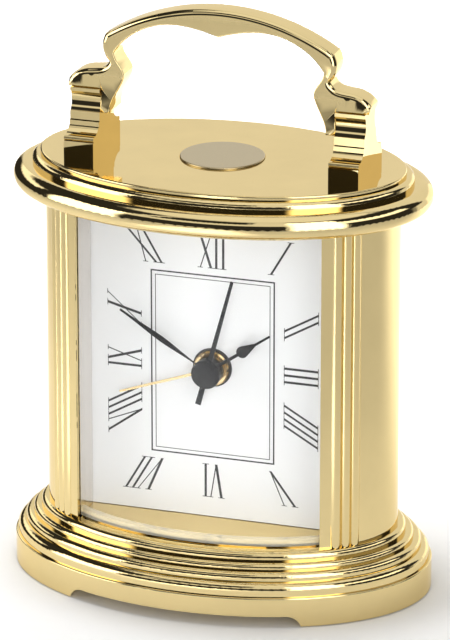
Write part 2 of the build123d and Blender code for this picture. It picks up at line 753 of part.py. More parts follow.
# Handle
posts = {}
for side, where in ((-1, "left"), (1, "right")):
    with BuildPart() as post:
        with BuildSketch(Plane.YZ.offset(side * post_mid - POST_W / 2)):
            with BuildLine():
                bead_low = (POST_BEAD[0] - 0.4, cornice_top + POST_BLOCK[1])
                bead_mid = (POST_BEAD[0], cornice_top + (POST_BLOCK[1] + POST_BEAD[1]) / 2)
                bead_high = (POST_BEAD[0] - 0.4, cornice_top + POST_BEAD[1])
                flare = (POST_FLARE[0], cornice_top + POST_FLARE[1])
                flare_mid = ((bead_high[0] + 2 * flare[0]) / 3, (2 * bead_high[1] + flare[1]) / 3)
                waist_low = (POST_BAND[0] - 0.1, cornice_top + POST_BAND[1])
                waist_high = (POST_CAP[0] - 0.3, cornice_top + POST_CAP[1])
                waist = (POST_WAIST, (waist_low[1] + waist_high[1]) / 2)
                Polyline(
                    (0, cornice_top),
                    (POST_BLOCK[0], cornice_top),
                    (POST_BLOCK[0], cornice_top + POST_BLOCK[1]),
                    bead_low,
                )
                ThreePointArc(bead_low, bead_mid, bead_high)
                ThreePointArc(bead_high, flare_mid, flare)
                Polyline(
                    flare,
                    (POST_NECK[0], flare[1]),
                    (POST_NECK[0], cornice_top + POST_NECK[1]),
                    (POST_BAND[0], cornice_top + POST_NECK[1]),
                    (POST_BAND[0], waist_low[1]),
                    waist_low,
                )
                ThreePointArc(waist_low, waist, waist_high)
                Polyline(
                    waist_high,
                    (POST_CAP[0], waist_high[1]),
                    (POST_CAP[0], post_top),
                    (0, post_top),
                    (0, cornice_top),
                )
            make_face()
            mirror(about=Plane.YZ)
        extrude(amount=POST_W)
        with BuildSketch(level(cornice_top)):
            with Locations((side * post_mid, 0)):
                Circle(HANDLE_SCREW_R + HOLE_CLEAR)
        extrude(amount=POST_H, mode=Mode.SUBTRACT)
    posts[where] = post


def arch_point(x, z):
    # A point of the handle, from the inner top edge of a post.
    return (post_in + x, post_top + z)


with BuildPart() as handle_arch:
    with BuildSketch(facing(ARCH_FLARE[0])):
        with BuildLine():
            arch_end = arch_point(-0.7, 9.9)
            neck = arch_point(-1.3, 4.9)
            shoulder = arch_point(POST_W + 0.7, 1.2)
            tip = (post_in - BRACKET_W, post_top - BRACKET_DROP)
            cusp = arch_point(-2.3, 6.6)
            TangentArc((0, arch_top), arch_end, tangent=(1, 0))
            ThreePointArc(arch_end, arch_point(-0.1, 8.0), neck)
            Spline(neck, arch_point(-0.4, 3.8), arch_point(2.7, 3.2), arch_point(5.2, 2.2), shoulder)
            Polyline(
                shoulder,
                (post_in + POST_W + 0.5, post_top),
                (post_in, post_top),
                (post_in, post_top - BRACKET_DROP),
                tip,
            )
            Spline(
                tip,
                arch_point(-2.4, -1.4),
                arch_point(-3.7, 1.1),
                arch_point(-4.1, 2.8),
                arch_point(-3.0, 4.8),
                cusp,
            )
            Spline(
                cusp,
                arch_point(-3.4, 8.1),
                arch_point(-7.1, 11.0),
                arch_point(-11.7, 12.5),
                arch_point(-16.2, 12.4),
                (0, arch_top - 4.75),
            )
            Line((0, arch_top - 4.75), (0, arch_top))
        make_face()
        mirror(about=Plane.YZ)
    extrude(amount=2 * ARCH_FLARE[0])
    with BuildSketch(Plane.YZ):
        for side in (-1, 1):
            Polygon(
                (side * ARCH_T / 2, arch_top + ARCH_T),
                (side * ARCH_T / 2, post_top + ARCH_FLARE[1]),
                (side * ARCH_FLARE[0], post_top),
                (side * ARCH_T, post_top),
                (side * ARCH_T, arch_top + ARCH_T),
                align=None,
            )
    extrude(amount=PLINTH_A, both=True, mode=Mode.SUBTRACT)
    with BuildSketch(level(post_top)):
        with Locations(*[(x, 0) for x in handle_xs]):
            Circle(HANDLE_SCREW_R + THREAD_CLEAR)
    extrude(amount=HANDLE_BITE, mode=Mode.SUBTRACT)
    fillet(handle_arch.edges().filter_by(GeomType.CIRCLE).sort_by(Axis.Z)[-2:], ARCH_ROUND)

with BuildPart() as handle_screws:
    with BuildSketch(level(case_top + HANDLE_SINK - HANDLE_HEAD_H)):
        with Locations(*[(x, 0) for x in handle_xs]):
            Circle(HANDLE_HEAD_R)
    extrude(amount=HANDLE_HEAD_H)
    with BuildSketch(level(case_top + HANDLE_SINK)):
        with Locations(*[(x, 0) for x in handle_xs]):
            Circle(HANDLE_SCREW_R)
    extrude(amount=post_top + HANDLE_BITE - HOLE_CLEAR - case_top - HANDLE_SINK)

# Places of the wheels, across the clock from the hand axis
hand_axis = (0, axis_z)
third_reach = THIRD_M * (SECOND_PINION_N + THIRD_N) / 2
centre_m = 2 * third_reach / (THIRD_PINION_N + CENTRE_N)
motion_reach = MOTION_M * (CANNON_N + MOTION_N) / 2
hour_m = 2 * motion_reach / (MOTION_PINION_N + HOUR_N)
third_at = from_axis(third_reach, THIRD_DIR, hand_axis)
motion_at = from_axis(motion_reach, MOTION_DIR, hand_axis)
time_set_at = from_axis(MOTION_M * (MOTION_N + TIME_SET_N) / 2, SET_DIR, motion_at)
alarm_set_at = from_axis(ALARM_M * (ALARM_N + ALARM_SET_N) / 2, ALARM_SET_DIR, hand_axis)
middle_at = from_axis(MIDDLE_M * (SECOND_N + MIDDLE_PINION_N) / 2, MIDDLE_DIR, hand_axis)
rotor_at = from_axis(ROTOR_M * (MIDDLE_N + ROTOR_N) / 2, ROTOR_DIR, middle_at)
bridge_front = layer(8) + ROTOR_T + HAND_GAP
bridge_rear = bridge_front + BRIDGE_T
pillar_x = BAY_X - BAY_WALL - BRIDGE_RIM - PART_GAP
pillars_at = (
    (-PILLAR_LEFT, axis_z + PILLAR_UP),
    (pillar_x, axis_z + PILLAR_UP),
    (pillar_x, axis_z - PILLAR_DOWN),
)
corner_x = in_half - CORNER_R / 2
inner_corner_x = BAY_X - BAY_WALL - CORNER_R - CORNER_IN
corners_at = [
    (x, z) for x in (-corner_x, inner_corner_x) for z in (in_low + CORNER_IN, in_high - CORNER_IN)
]
board_rear = cover_in - BOARD_BACK
board_front = board_rear - BOARD_T
board_top = axis_z - PILLAR_DOWN - SMALL_HEAD_R - PART_GAP
board_low = board_top - BOARD_H
board_left = -corner_x + CORNER_R + PART_GAP
board_right = inner_corner_x - CORNER_R - PART_GAP
board_post_z = board_top - PILLAR_R - PART_GAP
board_posts_at = [(x, board_post_z) for x in (board_left + PILLAR_R, board_right - PILLAR_R)]
buzzer_at = (-BUZZER_LEFT, axis_z - BUZZER_DOWN)
switch_z = axis_z + SWITCH_UP
battery_y = move_in + DIAL_CLEAR + BATTERY_R
battery_low = in_low + SPRING_H
coil_z = rotor_at[1] + COIL_UP
stator_y = layer(8) + (ROTOR_T - STATOR_T) / 2
yoke_z = rotor_at[1] + ROTOR_R + STATOR_GAP + STATOR_RING - YOKE_H

with BuildPart() as movement_case:
    with BuildSketch(facing(cover_in)):
        with Locations((0, move_mid)):
            RectangleRounded(2 * MOVE_HALF, move_high - move_low, MOVE_WALL)
    extrude(amount=cover_in - move_front)
    with BuildSketch(facing(cover_in)):
        with Locations((0, move_mid)):
            Rectangle(2 * in_half, in_high - in_low)
    extrude(amount=cover_in - move_in, mode=Mode.SUBTRACT)
    with Locations((BAY_X - BAY_WALL / 2, (move_in + cover_in) / 2, move_mid)):
        Box(BAY_WALL, cover_in - move_in, in_high - in_low)
    for x, z in pillars_at:
        rod(x, z, PILLAR_R, move_in - MOVE_WALL / 2, bridge_front)
        rod(x, z, SMALL_R + THREAD_CLEAR, bridge_front - SMALL_BITE, bridge_front, Mode.SUBTRACT)
    for x, z in corners_at:
        rod(x, z, CORNER_R, move_in - MOVE_WALL / 2, cover_in)
        rod(x, z, SMALL_R + THREAD_CLEAR, cover_in - SMALL_BITE, cover_in, Mode.SUBTRACT)
    for x, z in board_posts_at:
        rod(x, z, PILLAR_R, move_in - MOVE_WALL / 2, board_front)
    rod(*hand_axis, BUSH_R[1], bush_y, move_in)
    rod(*hand_axis, BUSH_R[0], bush_y, move_in, Mode.SUBTRACT)
    rod(*motion_at, SET_ARBOR_R, move_in - MOVE_WALL / 2, layer(3) + WHEEL_T + 0.1)
    for place, radius in (
        (third_at, ARBOR_R),
        (middle_at, ARBOR_R),
        (rotor_at, SECOND_R),
        (time_set_at, SET_ARBOR_R),
        (alarm_set_at, SET_ARBOR_R),
    ):
        rod(*place, radius + RUN_CLEAR, move_in - PIVOT_DEEP - 0.1, move_in, Mode.SUBTRACT)

with BuildPart() as movement_back:
    with BuildSketch(facing(move_back)):
        with Locations((0, move_mid)):
            RectangleRounded(2 * MOVE_HALF, move_high - move_low, MOVE_WALL)
        with Locations((bay_mid, move_mid)):
            Rectangle(in_half - BAY_X - 2 * BAY_LIP, in_high - in_low - 4 * BAY_LIP, mode=Mode.SUBTRACT)
        with Locations(time_set_at, alarm_set_at):
            Circle(SET_ARBOR_R + 2 * RUN_CLEAR, mode=Mode.SUBTRACT)
        with Locations(*corners_at):
            Circle(SMALL_R + HOLE_CLEAR, mode=Mode.SUBTRACT)
        with Locations((SWITCH_X, switch_z + SWITCH_TRAVEL / 2)):
            slot_l = SWITCH_TRAVEL + SWITCH_STEM_L + 2 * SWITCH_CLEAR
            Rectangle(SWITCH_STEM_W + 2 * SWITCH_CLEAR, slot_l, mode=Mode.SUBTRACT)
        with Locations(buzzer_at):
            with PolarLocations(BUZZER_R / 2, 6):
                Circle(SOUND_HOLE_R, mode=Mode.SUBTRACT)
    extrude(amount=MOVE_WALL)
    for x, z in board_posts_at:
        rod(x, z, PILLAR_R, board_rear, cover_in + MOVE_WALL / 2)

with BuildPart() as movement_screws:
    for x, z in corners_at:
        rod(x, z, SMALL_HEAD_R, move_back, move_back + SMALL_HEAD_H)
        rod(x, z, SMALL_R, cover_in - SMALL_BITE + HOLE_CLEAR, move_back)

with BuildPart() as train_bridge:
    with BuildSketch(facing(bridge_rear)):
        with Locations(*pillars_at, third_at, middle_at, rotor_at):
            Circle(BRIDGE_RIM)
        make_hull()
        with Locations(*pillars_at):
            Circle(SMALL_R + HOLE_CLEAR, mode=Mode.SUBTRACT)
        with Locations(third_at, middle_at):
            Circle(ARBOR_R + RUN_CLEAR, mode=Mode.SUBTRACT)
        with Locations(rotor_at, hand_axis):
            Circle(SECOND_R + RUN_CLEAR, mode=Mode.SUBTRACT)
        with Locations(alarm_set_at):
            Circle(SET_ARBOR_R + PART_GAP, mode=Mode.SUBTRACT)
    extrude(amount=BRIDGE_T)

with BuildPart() as bridge_screws:
    for x, z in pillars_at:
        rod(x, z, SMALL_HEAD_R, bridge_rear, bridge_rear + SMALL_HEAD_H)
        rod(x, z, SMALL_R, bridge_front - SMALL_BITE + HOLE_CLEAR, bridge_rear)

# Wheels: each turning piece is its wheel, its pinion and its arbor together.
cannon_tooth = 0.0
motion_tooth = meshed(cannon_tooth, CANNON_N, MOTION_N, MOTION_DIR)
hour_tooth = meshed(0.0, MOTION_PINION_N, HOUR_N, MOTION_DIR + 180)
time_set_tooth = meshed(motion_tooth, MOTION_N, TIME_SET_N, SET_DIR)
third_tooth = meshed(0.0, SECOND_PINION_N, THIRD_N, THIRD_DIR)
centre_tooth = meshed(0.0, THIRD_PINION_N, CENTRE_N, THIRD_DIR + 180)
middle_pinion_tooth = meshed(0.0, SECOND_N, MIDDLE_PINION_N, MIDDLE_DIR)
rotor_tooth = meshed(0.0, MIDDLE_N, ROTOR_N, ROTOR_DIR)
alarm_set_tooth = meshed(0.0, ALARM_N, ALARM_SET_N, ALARM_SET_DIR)

with BuildPart() as alarm_wheel:
    with BuildSketch(facing(layer(1) + WHEEL_T)):
        with Locations(hand_axis):
            Polygon(*wheel_outline(ALARM_N, ALARM_M, 0.0), align=None)
    extrude(amount=WHEEL_T)
    rod(*hand_axis, ALARM_R[1], alarm_y, layer(1) + WHEEL_T)
    rod(*hand_axis, ALARM_R[0], alarm_y, layer(1) + WHEEL_T, Mode.SUBTRACT)

with BuildPart() as hour_wheel:
    with BuildSketch(facing(layer(2) + WHEEL_T)):
        with Locations(hand_axis):
            Polygon(*wheel_outline(HOUR_N, hour_m, hour_tooth), align=None)
    extrude(amount=WHEEL_T)
    rod(*hand_axis, HOUR_R[1], hour_y, layer(2) + WHEEL_T)
    rod(*hand_axis, HOUR_R[0], hour_y, layer(2) + WHEEL_T, Mode.SUBTRACT)

with BuildPart() as cannon_pinion:
    with BuildSketch(facing(layer(3) + WHEEL_T)):
        with Locations(hand_axis):
            Polygon(*wheel_outline(CANNON_N, MOTION_M, cannon_tooth), align=None)
    extrude(amount=WHEEL_T)
    rod(*hand_axis, MINUTE_R[1], minute_y, layer(4) + WHEEL_T)
    rod(*hand_axis, MINUTE_R[0], minute_y, layer(4) + WHEEL_T, Mode.SUBTRACT)

with BuildPart() as motion_wheel:
    with BuildSketch(facing(layer(3) + WHEEL_T)):
        with Locations(motion_at):
            Polygon(*wheel_outline(MOTION_N, MOTION_M, motion_tooth), align=None)
    extrude(amount=WHEEL_T)
    with BuildSketch(facing(layer(3))):
        with Locations(motion_at):
            Polygon(*wheel_outline(MOTION_PINION_N, hour_m, 0.0), align=None)
    extrude(amount=layer(3) - layer(2))
    rod(*motion_at, SET_ARBOR_R + RUN_CLEAR, layer(2), layer(3) + WHEEL_T, Mode.SUBTRACT)

with BuildPart() as centre_wheel:
    with BuildSketch(facing(layer(4) + WHEEL_T)):
        with Locations(hand_axis):
            Polygon(*wheel_outline(CENTRE_N, centre_m, centre_tooth), align=None)
    extrude(amount=WHEEL_T)
    rod(*hand_axis, MINUTE_R[1] + PRESS_CLEAR, layer(4), layer(4) + WHEEL_T, Mode.SUBTRACT)

with BuildPart() as third_wheel:
    with BuildSketch(facing(layer(5) + WHEEL_T)):
        with Locations(third_at):
            Polygon(*wheel_outline(THIRD_N, THIRD_M, third_tooth), align=None)
    extrude(amount=WHEEL_T)
    with BuildSketch(facing(layer(5))):
        with Locations(third_at):
            Polygon(*wheel_outline(THIRD_PINION_N, centre_m, 0.0), align=None)
    extrude(amount=layer(5) - layer(4))
    rod(*third_at, ARBOR_R, move_in - PIVOT_DEEP, bridge_rear)

with BuildPart() as seconds_wheel:
    with BuildSketch(facing(layer(6) + WHEEL_T)):
        with Locations(hand_axis):
            Polygon(*wheel_outline(SECOND_N, MIDDLE_M, 0.0), align=None)
    extrude(amount=WHEEL_T)
    with BuildSketch(facing(layer(6))):
        with Locations(hand_axis):
            Polygon(*wheel_outline(SECOND_PINION_N, THIRD_M, 0.0), align=None)
    extrude(amount=layer(6) - layer(5))
    rod(*hand_axis, SECOND_R, cap_y + CAP_T / 3 + HAND_GAP / 2, bridge_rear)

with BuildPart() as intermediate_wheel:
    with BuildSketch(facing(layer(7) + WHEEL_T)):
        with Locations(middle_at):
            Polygon(*wheel_outline(MIDDLE_N, ROTOR_M, 0.0), align=None)
    extrude(amount=WHEEL_T)
    with BuildSketch(facing(layer(7))):
        with Locations(middle_at):
            Polygon(*wheel_outline(MIDDLE_PINION_N, MIDDLE_M, middle_pinion_tooth), align=None)
    extrude(amount=layer(7) - layer(6))
    rod(*middle_at, ARBOR_R, move_in - PIVOT_DEEP, bridge_rear)

with BuildPart() as rotor:
    with BuildSketch(facing(layer(8))):
        with Locations(rotor_at):
            Polygon(*wheel_outline(ROTOR_N, ROTOR_M, rotor_tooth), align=None)
    extrude(amount=layer(8) - layer(7))
    rod(*rotor_at, ROTOR_R, layer(8), layer(8) + ROTOR_T)
    rod(*rotor_at, SECOND_R, move_in - PIVOT_DEEP, bridge_rear)

# Motor
with BuildPart() as stator:
    with BuildSketch(facing(stator_y + STATOR_T)):
        with Locations(rotor_at):
            Circle(ROTOR_R + STATOR_GAP + STATOR_RING)
        with Locations((rotor_at[0], yoke_z + YOKE_H / 2)):
            Rectangle(2 * STATOR_HALF, YOKE_H)
        for side in (-1, 1):
            arm_x = rotor_at[0] + side * (STATOR_HALF - STATOR_ARM / 2)
            arm_h = coil_z + CORE_H / 2 - yoke_z
            with Locations((arm_x, yoke_z + arm_h / 2)):
                Rectangle(STATOR_ARM, arm_h)
        with Locations(rotor_at):
            Circle(ROTOR_R + STATOR_GAP, mode=Mode.SUBTRACT)
    extrude(amount=STATOR_T)

with BuildPart() as coil_core:
    with BuildSketch(facing(stator_y + STATOR_T + CORE_T)):
        with Locations((rotor_at[0], coil_z)):
            Rectangle(2 * STATOR_HALF, CORE_H)
    extrude(amount=CORE_T)

core_mid = stator_y + STATOR_T + CORE_T / 2
coil_half = STATOR_HALF - STATOR_ARM - DIAL_CLEAR
with BuildPart() as coil:
    with Locations(Location((rotor_at[0], core_mid, coil_z), (0, 90, 0))):
        Cylinder(COIL_R, 2 * coil_half)
    with Locations((rotor_at[0], core_mid, coil_z)):
        Box(2 * coil_half, CORE_T + 2 * PRESS_CLEAR, CORE_H + 2 * PRESS_CLEAR, mode=Mode.SUBTRACT)

# Battery and its contacts
with BuildPart() as battery:
    with BuildSketch(level(battery_low)):
        with Locations((bay_mid, battery_y)):
            Circle(BATTERY_R)
    extrude(amount=BATTERY_L - BATTERY_NUB_H)
    fillet(battery.edges().group_by(Axis.Z)[-1], 0.4)
    with BuildSketch(level(battery_low)):
        with Locations((bay_mid, battery_y)):
            Circle(BATTERY_NUB_R)
    extrude(amount=BATTERY_L)

with BuildPart() as battery_contact_plus:
    with Locations((bay_mid, battery_y, in_high - CONTACT_T / 2)):
        Box(CONTACT_W, CONTACT_W, CONTACT_T)
    nub_top = battery_low + BATTERY_L
    with Locations((bay_mid, battery_y, (nub_top + in_high) / 2)):
        Cylinder(BATTERY_NUB_R - 0.3, in_high - nub_top)

with BuildPart() as battery_contact_minus:
    with BuildSketch(facing(battery_y + CONTACT_W / 2)):
        with Locations((bay_mid, in_low)):
            Polygon(
                (-CONTACT_W / 2, 0),
                (CONTACT_W / 2, 0),
                (CONTACT_W / 2, CONTACT_T),
                (-CONTACT_W / 2 + 3 * CONTACT_T, CONTACT_T),
                (0, SPRING_H - CONTACT_T),
                (CONTACT_W / 3, SPRING_H - CONTACT_T),
                (CONTACT_W / 3, SPRING_H),
                (-CONTACT_T, SPRING_H),
                (-CONTACT_W / 2, CONTACT_T),
                align=None,
            )
    extrude(amount=CONTACT_W)

# Electronics
board_mid = ((board_left + board_right) / 2, board_low + BOARD_H / 2)
with BuildPart() as circuit_board:
    with BuildSketch(facing(board_rear)):
        with Locations(board_mid):
            Rectangle(board_right - board_left, BOARD_H)
    extrude(amount=BOARD_T)

with BuildPart() as control_chip:
    with Locations((board_mid[0], board_front - CHIP_T / 2, board_mid[1])):
        Box(CHIP_W, CHIP_T, CHIP_W)

with BuildPart() as quartz_crystal:
    crystal_at = (board_right - CRYSTAL_L / 2, board_front - CRYSTAL_R, board_low + CRYSTAL_R + PART_GAP)
    with Locations(Location(crystal_at, (0, 90, 0))):
        Cylinder(CRYSTAL_R, CRYSTAL_L)

with BuildPart() as buzzer:
    rod(*buzzer_at, BUZZER_R, cover_in - BUZZER_T, cover_in)

# Setting knobs and the alarm switch on the back of the movement
set_knobs = {}
for where, place, layer_number, outline in (
    ("time", time_set_at, 3, wheel_outline(TIME_SET_N, MOTION_M, time_set_tooth)),
    ("alarm", alarm_set_at, 1, wheel_outline(ALARM_SET_N, ALARM_M, alarm_set_tooth)),
):
    with BuildPart() as set_knob:
        with BuildSketch(facing(layer(layer_number) + WHEEL_T)):
            with Locations(place):
                Polygon(*outline, align=None)
        extrude(amount=WHEEL_T)
        rod(*place, SET_ARBOR_R, move_in - PIVOT_DEEP, move_back + PART_GAP)
        with BuildSketch(facing(move_back + PART_GAP + SET_KNOB_T)):
            with Locations(place):
                Circle(SET_KNOB_R)
                with PolarLocations(SET_KNOB_R, FLUTES):
                    Circle(FLUTE_R, mode=Mode.SUBTRACT)
        extrude(amount=SET_KNOB_T)
    set_knobs[where] = set_knob

with BuildPart() as alarm_switch:
    foot_y = cover_in - RUN_CLEAR - SWITCH_FOOT[1] / 2
    pad_y = move_back + RUN_CLEAR + SWITCH_PAD[1] / 2
    with Locations((SWITCH_X, foot_y, switch_z)):
        Box(*SWITCH_FOOT)
    with Locations((SWITCH_X, (foot_y + pad_y) / 2, switch_z)):
        Box(SWITCH_STEM_W, pad_y - foot_y, SWITCH_STEM_L)
    with Locations((SWITCH_X, pad_y, switch_z)):
        Box(*SWITCH_PAD)

pieces = {
    "base_plinth": base_plinth,
    "base_cover": base_cover,
    "base_cover_screws": base_cover_screws,
    "foot_pads": foot_pads,
    "tie_rods": tie_rods,
    "case_shell": case_shell,
    "pilaster_left": pilasters["left"],
    "pilaster_right": pilasters["right"],
    "glass": glass,
    "glass_seal_bottom": seals["bottom"],
    "glass_seal_top": seals["top"],
    "rear_door": rear_door,
    "door_knob": door_knob,
    "hinge_pins": hinge_pins,
    "dial": dial,
    "dial_carrier": dial_carrier,
    "dial_screws": dial_screws,
    "dial_washer": dial_washer,
    "centre_nut": centre_nut,
    "hour_hand": hour_hand,
    "minute_hand": minute_hand,
    "second_hand": second_hand,
    "alarm_hand": alarm_hand,
    "cornice": cornice,
    "medallion": medallion,
    "handle_post_left": posts["left"],
    "handle_post_right": posts["right"],
    "handle_arch": handle_arch,
    "handle_screws": handle_screws,
    "movement_case": movement_case,
    "movement_back": movement_back,
    "movement_screws": movement_screws,
    "train_bridge": train_bridge,
    "bridge_screws": bridge_screws,
    "battery": battery,
    "battery_contact_plus": battery_contact_plus,
    "battery_contact_minus": battery_contact_minus,
    "circuit_board": circuit_board,
    "control_chip": control_chip,
    "quartz_crystal": quartz_crystal,
    "coil": coil,
    "coil_core": coil_core,
    "stator": stator,
    "rotor": rotor,
    "intermediate_wheel": intermediate_wheel,
    "seconds_wheel": seconds_wheel,
    "third_wheel": third_wheel,
    "centre_wheel": centre_wheel,
    "cannon_pinion": cannon_pinion,
    "motion_wheel": motion_wheel,
    "hour_wheel": hour_wheel,
    "alarm_wheel": alarm_wheel,
    "time_set_knob": set_knobs["time"],
    "alarm_set_knob": set_knobs["alarm"],
    "alarm_switch": alarm_switch,
    "buzzer": buzzer,
}
for label, piece in pieces.items():
    piece.part.label = label
    export_step(piece.part, f"parts/{label}.step")
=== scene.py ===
from math import cos, pi, radians, sin

import bmesh
import bpy
from bpy.props import FloatProperty, FloatVectorProperty, PointerProperty
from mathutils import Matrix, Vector
from mathutils.bvhtree import BVHTree
from mathutils.geometry import delaunay_2d_cdt


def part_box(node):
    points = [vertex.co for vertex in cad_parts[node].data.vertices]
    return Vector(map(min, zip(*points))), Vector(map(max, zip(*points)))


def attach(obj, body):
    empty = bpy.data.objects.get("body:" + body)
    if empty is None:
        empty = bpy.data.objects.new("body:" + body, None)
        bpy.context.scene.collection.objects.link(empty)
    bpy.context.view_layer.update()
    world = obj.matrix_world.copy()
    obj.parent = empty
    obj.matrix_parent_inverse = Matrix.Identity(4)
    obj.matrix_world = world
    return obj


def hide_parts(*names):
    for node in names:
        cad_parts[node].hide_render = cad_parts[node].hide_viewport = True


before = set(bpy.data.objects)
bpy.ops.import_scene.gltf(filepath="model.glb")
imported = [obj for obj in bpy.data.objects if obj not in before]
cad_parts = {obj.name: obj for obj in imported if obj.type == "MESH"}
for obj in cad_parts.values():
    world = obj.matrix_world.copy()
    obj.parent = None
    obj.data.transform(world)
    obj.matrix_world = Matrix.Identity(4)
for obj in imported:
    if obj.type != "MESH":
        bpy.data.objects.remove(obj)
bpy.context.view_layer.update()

bl_info = {
    "name": "Oval carriage alarm clock",
    "version": (1, 0, 0),
    "blender": (4, 5, 0),
    "location": "3D View > Sidebar > Clock",
    "description": "Dresses the oval brass alarm clock: finishes, dial print and studio",
    "category": "Object",
}

MM = 0.001
IN_MM = 1000.0

DIAL_LOW, DIAL_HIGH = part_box("dial")
DIAL_FACE = DIAL_LOW.y
NUT_LOW, NUT_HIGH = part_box("centre_nut")
HAND_AXIS = (NUT_LOW + NUT_HIGH) / 2

NUMERALS = ("XII", "I", "II", "III", "IIII", "V", "VI", "VII", "VIII", "IX", "X", "XI")
SIDE_HOURS = (2, 3, 4, 8, 9, 10)

# what delaunay_2d_cdt gives back, and the millimetres within which it welds points
CDT_INSIDE = 1
PRINT_WELD = 1e-5
HANDLE_WELD = 1e-4

ARC_STEPS = 24
HANDLE_RINGS = 8
HANDLE_STEPS = 120
HANDLE_CREASE = radians(14)
# how far, as a share of its radius, a ring point may lie from its true inset before it is dropped
RING_SLACK = 0.03

FILM_HEIGHT = 36.0  # millimetres
FULL_TURN = 360
DEGREES = 180 / pi
PANEL_EDGE = 3  # degrees
# a panel from -ALL_ROUND to ALL_ROUND has no seam at the back; one that ends beyond it goes on past the back
ALL_ROUND = 200


class Finish:
    """A node material, built link by link."""

    def __init__(self, name):
        self.material = bpy.data.materials.new(name)
        self.material.use_nodes = True
        self.tree = self.material.node_tree
        self.shader = self.tree.nodes["Principled BSDF"]

    def node(self, kind, **values):
        made = self.tree.nodes.new(kind)
        for key, value in values.items():
            if key in made.inputs:
                made.inputs[key].default_value = value
            else:
                setattr(made, key, value)
        return made

    def link(self, start, end):
        self.tree.links.new(start, end)

    def set(self, **values):
        for key, value in values.items():
            socket = self.shader.inputs[key.replace("_", " ")]
            socket.default_value = (*value, 1.0) if isinstance(value, tuple) else value

    def place(self, stretch=(1.0, 1.0, 1.0)):
        """Coordinates fixed to the piece, in millimetres, drawn out along an axis."""
        where = self.node("ShaderNodeTexCoord")
        scaled = self.node("ShaderNodeMapping")
        scaled.inputs["Scale"].default_value = [IN_MM * s for s in stretch]
        self.link(where.outputs["Object"], scaled.inputs["Vector"])
        return scaled.outputs["Vector"]

    def noise(self, place, scale, detail=3.0, rough=0.5):
        made = self.node("ShaderNodeTexNoise", Scale=scale, Detail=detail, Roughness=rough)
        self.link(place, made.inputs["Vector"])
        return made.outputs["Fac"]

    def ramp(self, factor, *stops):
        made = self.node("ShaderNodeValToRGB")
        elements = made.color_ramp.elements
        while len(elements) < len(stops):
            elements.new(0.5)
        for element, (at, colour) in zip(elements, stops):
            element.position = at
            element.color = (*colour, 1.0)
        self.link(factor, made.inputs["Fac"])
        return made.outputs["Color"]

    def span(self, factor, low, high, start=0.3, end=0.7):
        """The factor's run from start to end, laid over low to high."""
        made = self.node("ShaderNodeMapRange")
        for key, value in zip(("From Min", "From Max", "To Min", "To Max"), (start, end, low, high)):
            made.inputs[key].default_value = value
        self.link(factor, made.inputs["Value"])
        return made.outputs["Result"]

    def colour(self, socket):
        self.link(socket, self.shader.inputs["Base Color"])

    def tone(self, factor, colour, dark, light, start=0.3, end=0.7):
        """A base colour that runs from a darker to a lighter shade with the factor."""
        self.colour(self.ramp(factor, (start, shade(colour, dark)), (end, shade(colour, light))))

    def rough(self, socket):
        self.link(socket, self.shader.inputs["Roughness"])

    def bump(self, socket, strength, depth):
        """Relief of a depth in millimetres."""
        made = self.node("ShaderNodeBump", Strength=strength, Distance=depth * MM)
        self.link(socket, made.inputs["Height"])
        self.link(made.outputs["Normal"], self.shader.inputs["Normal"])


def shade(colour, factor):
    return tuple(min(1.0, c * factor) for c in colour)


def plated(name, colour, rough=0.035, wear=0.012):
    """Polished plate: a faint buffing ripple, cloudy gloss and slightly deeper colour in patches."""
    finish = Finish(name)
    place = finish.place()
    finish.tone(finish.noise(place, scale=0.12, detail=4.0), colour, dark=0.965, light=1.02)
    finish.rough(finish.span(finish.noise(place, scale=0.9, detail=5.0), rough, rough + wear))
    finish.bump(finish.noise(place, scale=0.16, detail=2.0), strength=0.02, depth=0.05)
    finish.set(Metallic=1.0, Specular_Tint=(1.0, 0.93, 0.78))
    return finish.material


def satin_plate(name, colour):
    """Blasted plate: fine grain that breaks the mirror up."""
    finish = Finish(name)
    grain = finish.noise(finish.place(), scale=9.0, detail=4.0, rough=0.7)
    finish.tone(grain, colour, dark=0.82, light=1.08)
    finish.rough(finish.span(grain, 0.26, 0.4))
    finish.bump(grain, strength=0.3, depth=0.02)
    finish.set(Metallic=1.0)
    return finish.material


def brushed_metal(name, colour, stretch, rough=0.24):
    """Drawn or brushed metal: fine lines along the axis with the smallest stretch."""
    finish = Finish(name)
    lines = finish.noise(finish.place(stretch), scale=3.0, detail=4.0, rough=0.65)
    finish.tone(lines, colour, dark=0.84, light=1.06, start=0.25, end=0.75)
    finish.rough(finish.span(lines, rough, rough + 0.14))
    finish.bump(lines, strength=0.25, depth=0.02)
    finish.set(Metallic=1.0)
    return finish.material


def lacquer(name, colour, rough=0.22):
    """Sprayed enamel: a little orange peel and dust in the gloss."""
    finish = Finish(name)
    place = finish.place()
    peel = finish.noise(place, scale=2.2)
    finish.tone(finish.noise(place, scale=0.6, detail=4.0), colour, dark=0.8, light=1.2)
    finish.rough(finish.span(peel, rough, rough + 0.12))
    finish.bump(peel, strength=0.2, depth=0.02)
    finish.set(Specular_IOR_Level=0.12)
    return finish.material


def moulded(name, colour, rough, grain=5.0, depth=0.04):
    """Spark-eroded moulding: even pits and slightly uneven colour."""
    finish = Finish(name)
    place = finish.place()
    pits = finish.noise(place, scale=grain, detail=5.0, rough=0.65)
    finish.tone(finish.noise(place, scale=0.14), colour, dark=0.88, light=1.1)
    finish.rough(finish.span(pits, rough - 0.08, rough + 0.12))
    finish.bump(pits, strength=0.4, depth=depth)
    return finish.material


